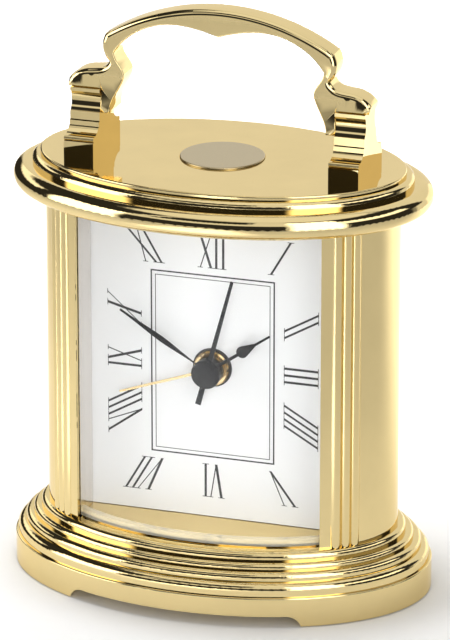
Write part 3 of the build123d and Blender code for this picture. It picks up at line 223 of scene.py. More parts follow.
def dial_card(name, colour):
    """Matt white enamel with a trace of tooth."""
    finish = Finish(name)
    place = finish.place()
    tooth = finish.noise(place, scale=6.0, detail=4.0, rough=0.6)
    finish.tone(finish.noise(place, scale=0.08), colour, dark=0.985, light=1.0)
    finish.rough(finish.span(tooth, 0.42, 0.55))
    finish.bump(tooth, strength=0.12, depth=0.01)
    return finish.material


def printed_ink(name, colour):
    """Ink or paint laid on unevenly."""
    finish = Finish(name)
    spread = finish.noise(finish.place(), scale=8.0)
    finish.tone(spread, colour, dark=0.8, light=1.5, start=0.35)
    finish.rough(finish.span(spread, 0.4, 0.6))
    return finish.material


def clear_glass(name, tint):
    """Clear glass with a trace of haze."""
    finish = Finish(name)
    haze = finish.noise(finish.place((1.0, 1.0, 0.3)), scale=0.25)
    finish.rough(finish.span(haze, 0.0, 0.012, start=0.45, end=0.8))
    finish.set(Base_Color=tint, IOR=1.3, Transmission_Weight=1.0)
    return finish.material


def clear_rubber(name, colour):
    """Clear soft strip, faintly milky."""
    finish = Finish(name)
    grain = finish.noise(finish.place(), scale=3.0)
    finish.tone(grain, colour, dark=0.97, light=1.0)
    finish.rough(finish.span(grain, 0.03, 0.08))
    finish.set(IOR=1.12, Transmission_Weight=0.72)
    return finish.material


def wound_wire(name, colour, turn=0.14):
    """Enamelled wire wound side by side along X, a turn so many millimetres wide, with painted shade in the
    grooves between turns.
    """
    finish = Finish(name)
    wave = finish.node(
        "ShaderNodeTexWave", wave_type="BANDS", bands_direction="X", Scale=0.5 / turn, Distortion=0.3)
    finish.link(finish.place(), wave.inputs["Vector"])
    turns = wave.outputs["Fac"]
    # the darker colour low in each band, in the grooves between turns, is painted shade
    finish.tone(turns, colour, dark=0.3, light=1.0, start=0.1)
    finish.rough(finish.span(turns, 0.35, 0.22, start=0.0, end=1.0))
    finish.bump(turns, strength=0.8, depth=0.06)
    finish.set(Metallic=1.0)
    return finish.material


def laminate(name, colour):
    """Resin board with its glass weave showing through the mask."""
    finish = Finish(name)
    place = finish.place()
    checker = finish.node("ShaderNodeTexChecker", Scale=2.4)
    finish.link(place, checker.inputs["Vector"])
    weave = checker.outputs["Fac"]
    finish.tone(weave, colour, dark=0.9, light=1.12, start=0.0, end=1.0)
    finish.rough(finish.span(finish.noise(place, scale=2.0), 0.28, 0.42))
    finish.bump(weave, strength=0.15, depth=0.01)
    return finish.material


def wrapped_cell(name, body, band, cap, low, high):
    """Printed sleeve of a dry cell from low to high: dark body, metallic band near the top, light scuffs."""
    finish = Finish(name)
    place = finish.place()
    height = finish.node("ShaderNodeSeparateXYZ")
    finish.link(place, height.inputs["Vector"])
    along = finish.span(height.outputs["Z"], 0.0, 1.0, start=low / MM, end=high / MM)
    finish.colour(finish.ramp(along, (0.0, body), (0.70, body), (0.705, band), (0.97, band), (0.975, cap)))
    scuff = finish.noise(finish.place((1.0, 1.0, 0.2)), scale=1.5, detail=5.0)
    finish.rough(finish.span(scuff, 0.2, 0.38))
    metal = finish.ramp(along, (0.0, (0, 0, 0)), (0.69, (0, 0, 0)), (0.71, (0.9, 0.9, 0.9)))
    finish.link(metal, finish.shader.inputs["Metallic"])
    finish.bump(scuff, strength=0.1, depth=0.01)
    return finish.material


def floor_paper(name, colour, half):
    """Pale paper that fades out towards the edge of its sheet."""
    finish = Finish(name)
    place = finish.place()
    finish.tone(finish.noise(place, scale=0.4, detail=4.0), colour, dark=0.99, light=1.0)
    reach = finish.node("ShaderNodeVectorMath", operation="LENGTH")
    finish.link(place, reach.inputs[0])
    fade = finish.span(reach.outputs["Value"], 1.0, 0.0, start=0.75 * half / MM, end=half / MM)
    finish.link(fade, finish.shader.inputs["Alpha"])
    finish.set(Roughness=0.85, Specular_IOR_Level=0.1)
    return finish.material


def colour_prop(name, text, value):
    return FloatVectorProperty(
        name=name, description=text, size=3, subtype="COLOR", min=0.0, max=1.0, default=value)


def length_prop(name, text, value):
    return FloatProperty(name=name, description=text, default=value, unit="LENGTH", precision=5)


def angle_prop(name, text, value):
    return FloatProperty(name=name, description=text, default=radians(value), subtype="ANGLE")


def power_prop(name, text, value):
    return FloatProperty(name=name, description=text, default=value, unit="POWER")


def level_prop(name, text, value):
    return FloatProperty(name=name, description=text, default=value)


class ClockColours(bpy.types.PropertyGroup):
    """Colours of the clock's finishes and of the floor"""

    gold: colour_prop("Gold plate", "Mirror plate of the case, base, cornice and handle", (0.80, 0.64, 0.32))
    satin: colour_prop("Satin gold", "Blasted medallion on the cornice", (0.57, 0.47, 0.28))
    hand_gold: colour_prop("Alarm gold", "Alarm hand and its nut", (0.62, 0.46, 0.24))
    black: colour_prop("Black enamel", "Time hands, washer and dial print", (0.012, 0.012, 0.013))
    dial: colour_prop("Dial white", "Enamel of the dial", (0.86, 0.86, 0.86))
    glass: colour_prop("Glass tint", "Tint of the bowed glass", (0.975, 0.985, 0.99))
    seal: colour_prop("Seal", "Clear strips at the edges of the glass", (0.99, 0.94, 0.78))
    # the jamb liner's pale colour is a painted reflection of the white dial in the gold jamb walls
    liner: colour_prop("Jamb liner", "Pale liner inside the jambs", (0.84, 0.80, 0.76))
    steel: colour_prop("Steel", "Screws, rods, contacts and stator", (0.58, 0.57, 0.55))
    carrier: colour_prop("Carrier", "Sheet that carries the dial", (0.5, 0.5, 0.49))
    movement: colour_prop("Movement plastic", "Moulded movement case", (0.022, 0.022, 0.024))
    bridge: colour_prop("Bridge plastic", "Moulded bridge of the train", (0.55, 0.54, 0.5))
    wheel: colour_prop("Wheel plastic", "Moulded wheels of the train", (0.62, 0.60, 0.52))
    knob: colour_prop("Knob plastic", "Setting knobs", (0.03, 0.03, 0.032))
    switch: colour_prop("Switch plastic", "Alarm switch", (0.42, 0.02, 0.016))
    copper: colour_prop("Winding", "Enamelled wire of the coil", (0.72, 0.33, 0.14))
    board: colour_prop("Board", "Laminate of the circuit board", (0.05, 0.19, 0.09))
    chip: colour_prop("Chip", "Resin over the control chip", (0.012, 0.012, 0.014))
    crystal: colour_prop("Crystal can", "Metal can of the quartz crystal", (0.7, 0.7, 0.69))
    ferrite: colour_prop("Ferrite", "Magnet of the rotor", (0.05, 0.048, 0.046))
    buzzer: colour_prop("Buzzer brass", "Sounding disc", (0.74, 0.56, 0.26))
    cell: colour_prop("Cell sleeve", "Dark body of the cell", (0.015, 0.02, 0.03))
    cell_band: colour_prop("Cell band", "Metallic band of the cell", (0.70, 0.42, 0.2))
    cell_cap: colour_prop("Cell cap", "Metal top of the cell", (0.62, 0.62, 0.6))
    mark: colour_prop("Mark paint", "Marks printed on the back of the movement", (0.42, 0.42, 0.41))
    cover: colour_prop("Base cover", "Cover plate under the base", (0.03, 0.03, 0.032))
    pad: colour_prop("Pads", "Rubber pads under the base", (0.035, 0.034, 0.033))
    floor: colour_prop("Floor", "Pale floor of the studio", (0.90, 0.90, 0.90))


class ClockSizes(bpy.types.PropertyGroup):
    """Sizes of the prints, the handle and the liners"""

    frame_half_width: length_prop("Frame half width", "Printed frame, axis to its side line", 11.2 * MM)
    frame_half_height: length_prop("Frame half height", "Printed frame, axis to its top line", 16.9 * MM)
    frame_heavy: length_prop("Heavy line", "Width of the outer printed line", 0.26 * MM)
    frame_fine: length_prop("Fine line", "Width of the inner printed line", 0.13 * MM)
    frame_space: length_prop("Line space", "Between the middles of the two lines", 0.75 * MM)
    side_in: length_prop("Side column start", "Axis to the foot of the side numerals", 13.0 * MM)
    row_in: length_prop("Row start", "Axis to the foot of the top and bottom numerals", 18.3 * MM)
    numeral_height: length_prop("Numeral height", "Foot to head of a numeral", 6.3 * MM)
    stroke: length_prop("Heavy stroke", "Width of a numeral's main stroke", 0.42 * MM)
    hairline: length_prop("Hairline", "Width of a numeral's thin stroke", 0.17 * MM)
    serif: length_prop("Serif overhang", "How far a serif passes its stroke", 0.38 * MM)
    stem_step: length_prop("Stem step", "From one upright of a numeral to the next", 1.26 * MM)
    letter_step: length_prop("Letter step", "Room of a V or an X in a numeral", 2.6 * MM)
    handle_half: length_prop("Handle half depth", "Half depth of the handle, front to back", 2.6 * MM)
    handle_cut: length_prop("Handle section", "Where its outline is taken, behind its screws", 1.285 * MM)
    handle_round: length_prop("Handle rounding", "Radius along the handle's upper edges", 0.95 * MM)
    handle_soft: length_prop("Handle softening", "Radius along the handle's under edges", 0.22 * MM)
    handle_waist: length_prop("Handle waist", "Height above the posts where it starts to widen", 2.0 * MM)
    ink: length_prop("Ink thickness", "Height of the print above the enamel", 0.02 * MM)
    mark_line: length_prop("Mark line", "Width of a line printed on the movement", 0.4 * MM)
    mark_reach: length_prop("Mark reach", "From a knob, the switch or the cell to its mark", 2.4 * MM)
    # the jamb liners are thin pale sheets that paint the white dial's reflection in the gold jamb walls
    liner: length_prop("Liner", "Thickness of the pale liner inside each jamb", 0.06 * MM)
    liner_depth: length_prop("Liner depth", "Dial to the front edge of a jamb liner", 5.9 * MM)


class ClockStudio(bpy.types.PropertyGroup):
    """Camera, floor, room and lights"""

    camera_at: FloatVectorProperty(
        name="Camera", description="Place of the camera", size=3, subtype="TRANSLATION", unit="LENGTH",
        default=(0.25493, -0.77811, 0.34722),
    )
    azimuth: angle_prop("Azimuth", "Camera angle round from the front", 18.11)
    elevation: angle_prop("Elevation", "Camera angle above level", 20.13)
    lens: FloatProperty(
        name="Lens", description="Focal length for a 36 mm high frame", default=279.3, unit="CAMERA")
    floor_half: length_prop("Floor", "Half width of the floor", 0.5)
    sky: level_prop("Room", "Brightness of the plain room", 0.3)
    flag: level_prop("Flags", "Brightness of the dark panels", 0.03)
    panel: level_prop("Panels", "Brightness of the white panels", 3.0)
    wall: level_prop("Back wall", "Brightness of the wall behind the clock", 0.92)
    ceiling: level_prop("Ceiling", "Brightness of the overhead panel", 1.0)
    bounce: FloatProperty(
        name="Bounce", description="Share of the room's light that falls on plain surfaces",
        default=0.4, min=0.0, max=1.0, subtype="FACTOR")
    key: power_prop("Key light", "Power of the soft box overhead", 3.8)
    back: power_prop("Back light", "Power of the pool of light behind", 20.0)
    left: power_prop("Left light", "Power of the pool of light at the left", 10.0)
    strip: power_prop("Strip light", "Power of the strip of light on the floor in front", 0.1)
    fill: power_prop("Fill light", "Power of the soft box in front", 0.29)


def dress(finish, *nodes):
    """Gives CAD nodes a finish in place of any they have."""
    for name in nodes:
        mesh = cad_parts[name].data
        mesh.materials.clear()
        mesh.materials.append(finish)


def piece(name, mesh, body, slot, finish, *nodes):
    """Puts a finished mesh in the scene as a piece of the clock."""
    thing = bpy.data.objects.new(name, mesh)
    bpy.context.scene.collection.objects.link(thing)
    mesh.materials.append(finish)
    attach(thing, body)
    if nodes:
        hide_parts(*nodes)


def mesh_from(made, name):
    """Turns a bmesh into a mesh and lets it go."""
    mesh = bpy.data.meshes.new(name)
    made.to_mesh(mesh)
    made.free()
    return mesh


def turning(ring):
    """Above 0 where a ring of flat points runs anticlockwise."""
    return sum(a[0] * b[1] - b[0] * a[1] for a, b in zip(ring, ring[1:] + ring[:1]))


def print_mesh(name, shapes, face, rise):
    """One thin raised print on the plane y = face from overlapping flat shapes, given as (x, z) in metres."""
    points, faces = [], []
    for shape in shapes:
        ordered = shape if turning(shape) > 0 else shape[::-1]
        faces.append(list(range(len(points), len(points) + len(ordered))))
        points += [Vector(p) * IN_MM for p in ordered]
    flat, _, tris, _, _, parts = delaunay_2d_cdt(points, [], faces, CDT_INSIDE, PRINT_WELD)
    made = bmesh.new()
    corners = [made.verts.new((x * MM, face, z * MM)) for x, z in flat]
    for tri, part in zip(tris, parts):
        if part:
            made.faces.new([corners[i] for i in tri])
    lifted = bmesh.ops.extrude_face_region(made, geom=made.faces[:])["geom"]
    tops = [v for v in lifted if isinstance(v, bmesh.types.BMVert)]
    bmesh.ops.translate(made, vec=(0, rise, 0), verts=tops)
    bmesh.ops.recalc_face_normals(made, faces=made.faces[:])
    return mesh_from(made, name)


def rectangle(x0, z0, x1, z1):
    return [(x0, z0), (x1, z0), (x1, z1), (x0, z1)]


def bar(start, end, half):
    """A stroke of a numeral between two (across, up) points with level ends."""
    (s0, t0), (s1, t1) = start, end
    return [(s0 - half, t0), (s0 + half, t0), (s1 + half, t1), (s1 - half, t1)]


def numeral_strokes(word, sizes):
    """Flat shapes of a Roman numeral, with its foot at 0 and its middle at 0 across."""
    stroke, hair, height = sizes.stroke, sizes.hairline, sizes.numeral_height
    heavy_half, fine_half, serif_high = 0.56 * stroke, 0.6 * hair, 0.7 * hair
    widths = [sizes.stem_step if letter == "I" else sizes.letter_step for letter in word]
    at = -sum(widths) / 2
    shapes = []
    for letter, width in zip(word, widths):
        mid = at + width / 2
        if letter == "I":
            shapes.append(bar((mid, 0), (mid, height), stroke / 2))
            ends = [(mid, 0, stroke), (mid, height, stroke)]
        else:
            reach = 0.38 * width
            foot = reach if letter == "X" else 0.0
            shapes.append(bar((mid + foot, 0), (mid - reach, height), heavy_half))
            shapes.append(bar((mid - foot, 0), (mid + reach, height), fine_half))
            ends = [(mid - reach, height, stroke), (mid + reach, height, hair)]
            if letter == "X":
                ends += [(mid + reach, 0, stroke), (mid - reach, 0, hair)]
        for middle, level, wide in ends:
            half = wide / 2 + sizes.serif
            low = 0 if level == 0 else height - serif_high
            shapes.append(rectangle(middle - half, low, middle + half, low + serif_high))
        at += width
    return shapes


def on_dial(hour, out, across):
    """Where a point of a numeral lies on the dial: out from the hand axis, across to the numeral's right."""
    turn = radians(FULL_TURN / len(NUMERALS) * hour)
    if hour in SIDE_HOURS:
        sign = 1 if sin(turn) > 0 else -1
        x, z = sign * out, out * cos(turn) / abs(sin(turn)) - sign * across
    else:
        sign = 1 if cos(turn) > 0 else -1
        x, z = out * sin(turn) / abs(cos(turn)) + sign * across, sign * out
    return x, HAND_AXIS.z + z


def outline_band(half_w, half_h, width):
    """Four strips of a printed rectangle about the hand axis."""
    x0, z0 = half_w + width / 2, half_h + width / 2
    x1, z1 = half_w - width / 2, half_h - width / 2
    zc = HAND_AXIS.z
    return [
        rectangle(-x0, zc + z1, x0, zc + z0),
        rectangle(-x0, zc - z0, x0, zc - z1),
        rectangle(-x0, zc - z1, -x1, zc + z1),
        rectangle(x1, zc - z1, x0, zc + z1),
    ]


def arc_band(middle, radius, width, start, end):
    """Flat quads along an arc about a (x, z) middle, from one angle to another in degrees."""
    rims = []
    for step in range(ARC_STEPS + 1):
        turn = radians(start + (end - start) * step / ARC_STEPS)
        edges = (radius - width / 2, radius + width / 2)
        rims.append([(middle[0] + edge * cos(turn), middle[1] + edge * sin(turn)) for edge in edges])
    return [[one[0], one[1], two[1], two[0]] for one, two in zip(rims, rims[1:])]


def arrow_head(middle, radius, size, angle):
    """A flat triangle at the end of an anticlockwise arc, pointing on along it."""
    out = Vector((cos(radians(angle)), sin(radians(angle))))
    on = Vector((-out.y, out.x))
    base = Vector(middle) + out * radius
    return [tuple(base - out * size / 2), tuple(base + out * size / 2), tuple(base + on * size)]


def node_outline(node, level):
    """Outline of a node in the plane y = level, as (x, z) points in order."""
    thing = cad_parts[node]
    cut = bmesh.new()
    cut.from_mesh(thing.data)
    cut.transform(thing.matrix_world)
    bmesh.ops.remove_doubles(cut, verts=cut.verts[:], dist=1e-6)
    everything = cut.verts[:] + cut.edges[:] + cut.faces[:]
    halved = bmesh.ops.bisect_plane(
        cut, geom=everything, dist=1e-7, plane_co=(0, level, 0), plane_no=(0, 1, 0))
    around = {}
    for edge in halved["geom_cut"]:
        if isinstance(edge, bmesh.types.BMEdge):
            one, two = edge.verts
            around.setdefault(one, []).append(two)
            around.setdefault(two, []).append(one)
    start = max(around, key=lambda corner: corner.co.z)
    ring, last, here = [start], start, around[start][0]
    while here is not start:
        ring.append(here)
        last, here = here, next(other for other in around[here] if other is not last)
    outline = [(corner.co.x, corner.co.z) for corner in ring]
    cut.free()
    return outline


def rounded_slab(name, outline, depth_at, outer, inner_radius, extra):
    """A slab seen along y, as deep each way as depth_at(z), with extra (x, z) points on its faces.

    Its edges are rounded: by the outer radius from the top of the outline to its widest points, then by
    the inner one.
    """
    count = len(outline)
    if turning(outline) < 0:
        outline = outline[:1] + outline[:0:-1]
    across = [x for x, z in outline]
    left, right = across.index(min(across)), across.index(max(across))
    radii = [inner_radius if left <= i < right else outer for i in range(count)]
    walls = [Vector((x, y, z)) for x, z in outline for y in (-1, 1)]
    ends = 2 * count
    quads = [(2 * i, 2 * i + 1, (2 * i + 3) % ends, (2 * i + 2) % ends) for i in range(count)]
    nearest = BVHTree.FromPolygons(walls, quads)

    def inset(x, z):
        _, _, side, away = nearest.find_nearest(Vector((x, 0, z)))
        return away, radii[side]

    points = [Vector(p) for p in outline]
    inner = [Vector(p) for p in extra]
    for i, here in enumerate(points):
        along = (points[(i + 1) % count] - points[i - 1]).normalized()
        inward = Vector((-along.y, along.x))
        for step in range(1, HANDLE_RINGS + 1):
            shift = radii[i] * (1 - cos(pi / 2 * step / HANDLE_RINGS))
            at = here + inward * shift
            if abs(inset(*at)[0] - shift) < RING_SLACK * radii[i]:
                inner.append(at)
    flat, _, tris, _, _, _ = delaunay_2d_cdt(
        [p * IN_MM for p in points + inner], [], [list(range(count))], CDT_INSIDE, HANDLE_WELD)
    made = bmesh.new()
    faces = {-1: [], 1: []}
    for x, z in flat:
        away, radius = inset(x * MM, z * MM)
        gone = max(0.0, radius - away)
        deep = depth_at(z * MM) - radius + (radius * radius - gone * gone) ** 0.5
        for side in faces:
            faces[side].append(made.verts.new((x * MM, side * deep, z * MM)))
    rims = {}
    for tri in tris:
        for a, b in zip(tri, (*tri[1:], tri[0])):
            rims[frozenset((a, b))] = None if frozenset((a, b)) in rims else (a, b)
        for side in faces:
            made.faces.new([faces[side][i] for i in tri])
    for a, b in filter(None, rims.values()):
        made.faces.new((faces[-1][a], faces[-1][b], faces[1][b], faces[1][a]))
    bmesh.ops.recalc_face_normals(made, faces=made.faces[:])
    for face in made.faces:
        face.smooth = True
    mesh = mesh_from(made, name)
    mesh.set_sharp_from_angle(angle=HANDLE_CREASE)
    return mesh


class CLOCK_OT_gold(bpy.types.Operator):
    """Plate the case, base, cornice, pilasters, handle, door and hinge"""

    bl_idname = "clock.gold"
    bl_label = "Gold plate"

    def execute(self, context):
        colours = context.scene.clock_colours
        plate = plated("gold_plate", tuple(colours.gold))
        dress(
            plate, "base_plinth", "case_shell", "pilaster_left", "pilaster_right", "cornice",
            "handle_post_left", "handle_post_right", "rear_door", "door_knob", "hinge_pins",
        )
        self.handle(context.scene.clock_sizes, plate)
        dress(satin_plate("satin_gold", tuple(colours.satin)), "medallion")
        hand_gold = plated("hand_gold", tuple(colours.hand_gold), rough=0.12, wear=0.08)
        dress(hand_gold, "alarm_hand", "centre_nut")
        return {"FINISHED"}

    def handle(self, sizes, plate):
        """The handle with softened edges, its feet and brackets a little deeper front to back."""
        low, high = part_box("handle_arch")
        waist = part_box("handle_post_left")[1].z + sizes.handle_waist

        def depth_at(z):
            rise = max(0.0, (waist - z) / (waist - low.z))
            return sizes.handle_half + (high.y - sizes.handle_half) * rise

        step = (high.x - low.x) / HANDLE_STEPS
        row = [(low.x + step * (i + 0.5), waist) for i in range(HANDLE_STEPS)]
        outline = node_outline("handle_arch", sizes.handle_cut)
        mesh = rounded_slab("handle_bow", outline, depth_at, sizes.handle_round, sizes.handle_soft, row)
        piece("handle_bow", mesh, "clock", "gold_plate", plate, "handle_arch")


class CLOCK_OT_dial(bpy.types.Operator):
    """Enamel the dial and print its frame and numerals"""

    bl_idname = "clock.dial"
    bl_label = "Dial and print"

    def execute(self, context):
        colours, sizes = context.scene.clock_colours, context.scene.clock_sizes
        dress(dial_card("dial_enamel", tuple(colours.dial)), "dial")
        ink = printed_ink("dial_ink", tuple(colours.black))
        half_w, half_h = sizes.frame_half_width, sizes.frame_half_height
        inner_w, inner_h = half_w - sizes.frame_space, half_h - sizes.frame_space
        lines = outline_band(half_w, half_h, sizes.frame_heavy)
        lines += outline_band(inner_w, inner_h, sizes.frame_fine)
        mesh = print_mesh("dial_frame_print", lines, DIAL_FACE, -sizes.ink)
        piece("dial_frame_print", mesh, "clock", "black_enamel", ink)
        shapes = []
        for hour, word in enumerate(NUMERALS):
            start = sizes.side_in if hour in SIDE_HOURS else sizes.row_in
            for stroke in numeral_strokes(word, sizes):
                shapes.append([on_dial(hour, start + up, across) for across, up in stroke])
        mesh = print_mesh("dial_numerals", shapes, DIAL_FACE, -sizes.ink)
        piece("dial_numerals", mesh, "clock", "black_enamel", ink)
        return {"FINISHED"}


class CLOCK_OT_hands(bpy.types.Operator):
    """Enamel the time hands and the washer"""

    bl_idname = "clock.hands"
    bl_label = "Hands"

    def execute(self, context):
        black = tuple(context.scene.clock_colours.black)
        dress(lacquer("hand_enamel", black), "hour_hand", "minute_hand", "second_hand")
        dress(moulded("washer_black", black, rough=0.5), "dial_washer")
        return {"FINISHED"}


class CLOCK_OT_glass(bpy.types.Operator):
    """Finish the bowed glass and its two seals, and line the jambs behind it with pale liners that paint the
    white dial's reflection in the gold jamb walls
    """

    bl_idname = "clock.glass"
    bl_label = "Glass"

    def execute(self, context):
        colours = context.scene.clock_colours
        seals = ("glass_seal_bottom", "glass_seal_top")
        dress(clear_glass("bowed_glass", tuple(colours.glass)), "glass")
        dress(clear_rubber("clear_seal", tuple(colours.seal)), *seals)
        for name in ("glass", *seals):
            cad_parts[name].visible_shadow = False
        self.reflection_liners(context.scene.clock_sizes, tuple(colours.liner))
        return {"FINISHED"}

    def reflection_liners(self, sizes, colour):
        """A thin pale liner on the inner face of each jamb, from the dial to the glass: a painted reflection
        of the white dial in the gold jamb wall.
        """
        reflection_finish = brushed_metal("jamb_silver", colour, (0.5, 0.5, 4.0), rough=0.1)
        thick, depth = sizes.liner, sizes.liner_depth
        span = (thick, depth, DIAL_HIGH.z - DIAL_LOW.z - 2 * thick)
        y, z = DIAL_FACE - depth / 2 - sizes.ink, (DIAL_LOW.z + DIAL_HIGH.z) / 2
        for name, face, inward in (
            ("jamb_liner_left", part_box("pilaster_left")[1].x, 1),
            ("jamb_liner_right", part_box("pilaster_right")[0].x, -1),
        ):
            made = bmesh.new()
            bmesh.ops.create_cube(made, size=1.0)
            bmesh.ops.scale(made, vec=span, verts=made.verts[:])
            bmesh.ops.translate(made, vec=(face + inward * 0.5 * thick, y, z), verts=made.verts[:])
            bmesh.ops.bevel(made, geom=made.edges[:], offset=0.3 * thick, segments=2, affect="EDGES")
            piece(name, mesh_from(made, name), "clock", "steel", reflection_finish)


class CLOCK_OT_movement(bpy.types.Operator):
    """Finish the movement, its train, its motor and the cell, and print the marks on its back"""

    bl_idname = "clock.movement"
    bl_label = "Movement"

    # name of the finish, colour setting, roughness, grain, depth of the pits, nodes
    plastics = (
        ("movement_plastic", "movement", 0.5, 4.0, 0.05, ("movement_case", "movement_back")),
        ("bridge_plastic", "bridge", 0.42, 6.0, 0.02, ("train_bridge",)),
        ("wheel_plastic", "wheel", 0.38, 7.0, 0.015, (
            "cannon_pinion", "hour_wheel", "motion_wheel", "seconds_wheel", "intermediate_wheel",
            "third_wheel", "centre_wheel", "alarm_wheel",
        )),
        ("knob_plastic", "knob", 0.4, 5.0, 0.03, ("time_set_knob", "alarm_set_knob")),
        ("switch_plastic", "switch", 0.36, 5.0, 0.02, ("alarm_switch",)),
        ("chip_plastic", "chip", 0.5, 6.0, 0.02, ("control_chip",)),
        ("ferrite", "ferrite", 0.55, 7.0, 0.03, ("rotor",)),
    )
    # name of the finish, colour setting, stretch of its lines, roughness, nodes
    metals = (
        ("bright_steel", "steel", (4.0, 4.0, 0.4), 0.24, (
            "base_cover_screws", "dial_screws", "handle_screws", "movement_screws", "bridge_screws",
            "tie_rods", "stator", "coil_core", "battery_contact_plus", "battery_contact_minus",
        )),
        ("carrier_steel", "carrier", (0.2, 4.0, 4.0), 0.3, ("dial_carrier",)),
        ("crystal_can", "crystal", (4.0, 4.0, 0.4), 0.18, ("quartz_crystal",)),
        ("buzzer_brass", "buzzer", (1.0, 1.0, 1.0), 0.2, ("buzzer",)),
    )

    def execute(self, context):
        colours = context.scene.clock_colours
        for name, colour, rough, grain, depth, nodes in self.plastics:
            dress(moulded(name, tuple(getattr(colours, colour)), rough, grain, depth), *nodes)
        for name, colour, stretch, rough, nodes in self.metals:
            dress(brushed_metal(name, tuple(getattr(colours, colour)), stretch, rough), *nodes)
        dress(wound_wire("copper_winding", tuple(colours.copper)), "coil")
        dress(laminate("board_laminate", tuple(colours.board)), "circuit_board")
        low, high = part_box("battery")
        sleeve = [tuple(colour) for colour in (colours.cell, colours.cell_band, colours.cell_cap)]
        dress(wrapped_cell("battery_wrap", *sleeve, low.z, high.z), "battery")
        self.marks(context.scene.clock_sizes, tuple(colours.mark), low, high)
        return {"FINISHED"}

    def marks(self, sizes, colour, low, high):
        """Plain marks: the way each knob turns, the switch's ends and the ends of the cell, low to high."""
        line, reach = sizes.mark_line, sizes.mark_reach
        arrow, knob_gap = 3.4 * line, 0.75 * reach
        shapes = []
        for knob, start, end in (("time_set_knob", 215, 325), ("alarm_set_knob", 35, 145)):
            one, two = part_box(knob)
            middle = ((one.x + two.x) / 2, (one.z + two.z) / 2)
            radius = (two.z - one.z) / 2 + knob_gap
            shapes += arc_band(middle, radius, line, start, end)
            shapes.append(arrow_head(middle, radius, arrow, end))
        one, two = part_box("alarm_switch")
        dot, ring = (0.6 * line, 1.2 * line), (1.2 * line, 0.5 * line)
        for level, (radius, width) in ((two.z, dot), (one.z, ring)):
            shapes += arc_band((two.x + reach, level), radius, width, 0, FULL_TURN)
        thin, half, inset = line / 2, 0.5 * reach, 2.2 * reach
        x, plus, minus = low.x - 1.3 * reach, high.z - inset, low.z + inset
        for z in (plus, minus):
            shapes.append(rectangle(x - half, z - thin, x + half, z + thin))
        shapes.append(rectangle(x - thin, plus - half, x + thin, plus + half))
        mesh = print_mesh("movement_marks", shapes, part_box("movement_back")[1].y, sizes.ink)
        piece("movement_marks", mesh, "clock", "dial_enamel", printed_ink("mark_paint", colour))


class CLOCK_OT_underside(bpy.types.Operator):
    """Finish the cover plate and pads under the base"""

    bl_idname = "clock.underside"
    bl_label = "Underside"

    def execute(self, context):
        colours = context.scene.clock_colours
        dress(moulded("base_plate", tuple(colours.cover), rough=0.6, grain=2.5, depth=0.08), "base_cover")
        dress(moulded("pad_rubber", tuple(colours.pad), rough=0.75, grain=3.0, depth=0.06), "foot_pads")
        return {"FINISHED"}


def soft_step(tree, value, start, end):
    """0 at the start and 1 at the end, with a smooth run between."""
    made = tree.nodes.new("ShaderNodeMapRange")
    made.interpolation_type = "SMOOTHSTEP"
    made.inputs["From Min"].default_value = start
    made.inputs["From Max"].default_value = end
    tree.links.new(value, made.inputs["Value"])
    return made.outputs["Result"]


def maths(tree, operation, one, two):
    """A math node on two values, each a number or a socket."""
    made = tree.nodes.new("ShaderNodeMath")
    made.operation = operation
    for socket, value in zip(made.inputs, (one, two)):
        if isinstance(value, (int, float)):
            socket.default_value = value
        else:
            tree.links.new(value, socket)
    return made.outputs[0]


def window(tree, value, low, high):
    """1 between low and high and 0 outside, with soft edges."""
    rise = soft_step(tree, value, low - PANEL_EDGE, low + PANEL_EDGE)
    fall = soft_step(tree, value, high + PANEL_EDGE, high - PANEL_EDGE)
    return maths(tree, "MULTIPLY", rise, fall)


def aim(thing, direction):
    """Turns a camera or lamp so that its back faces along a direction."""
    thing.rotation_euler = direction.to_track_quat("Z", "Y").to_euler()


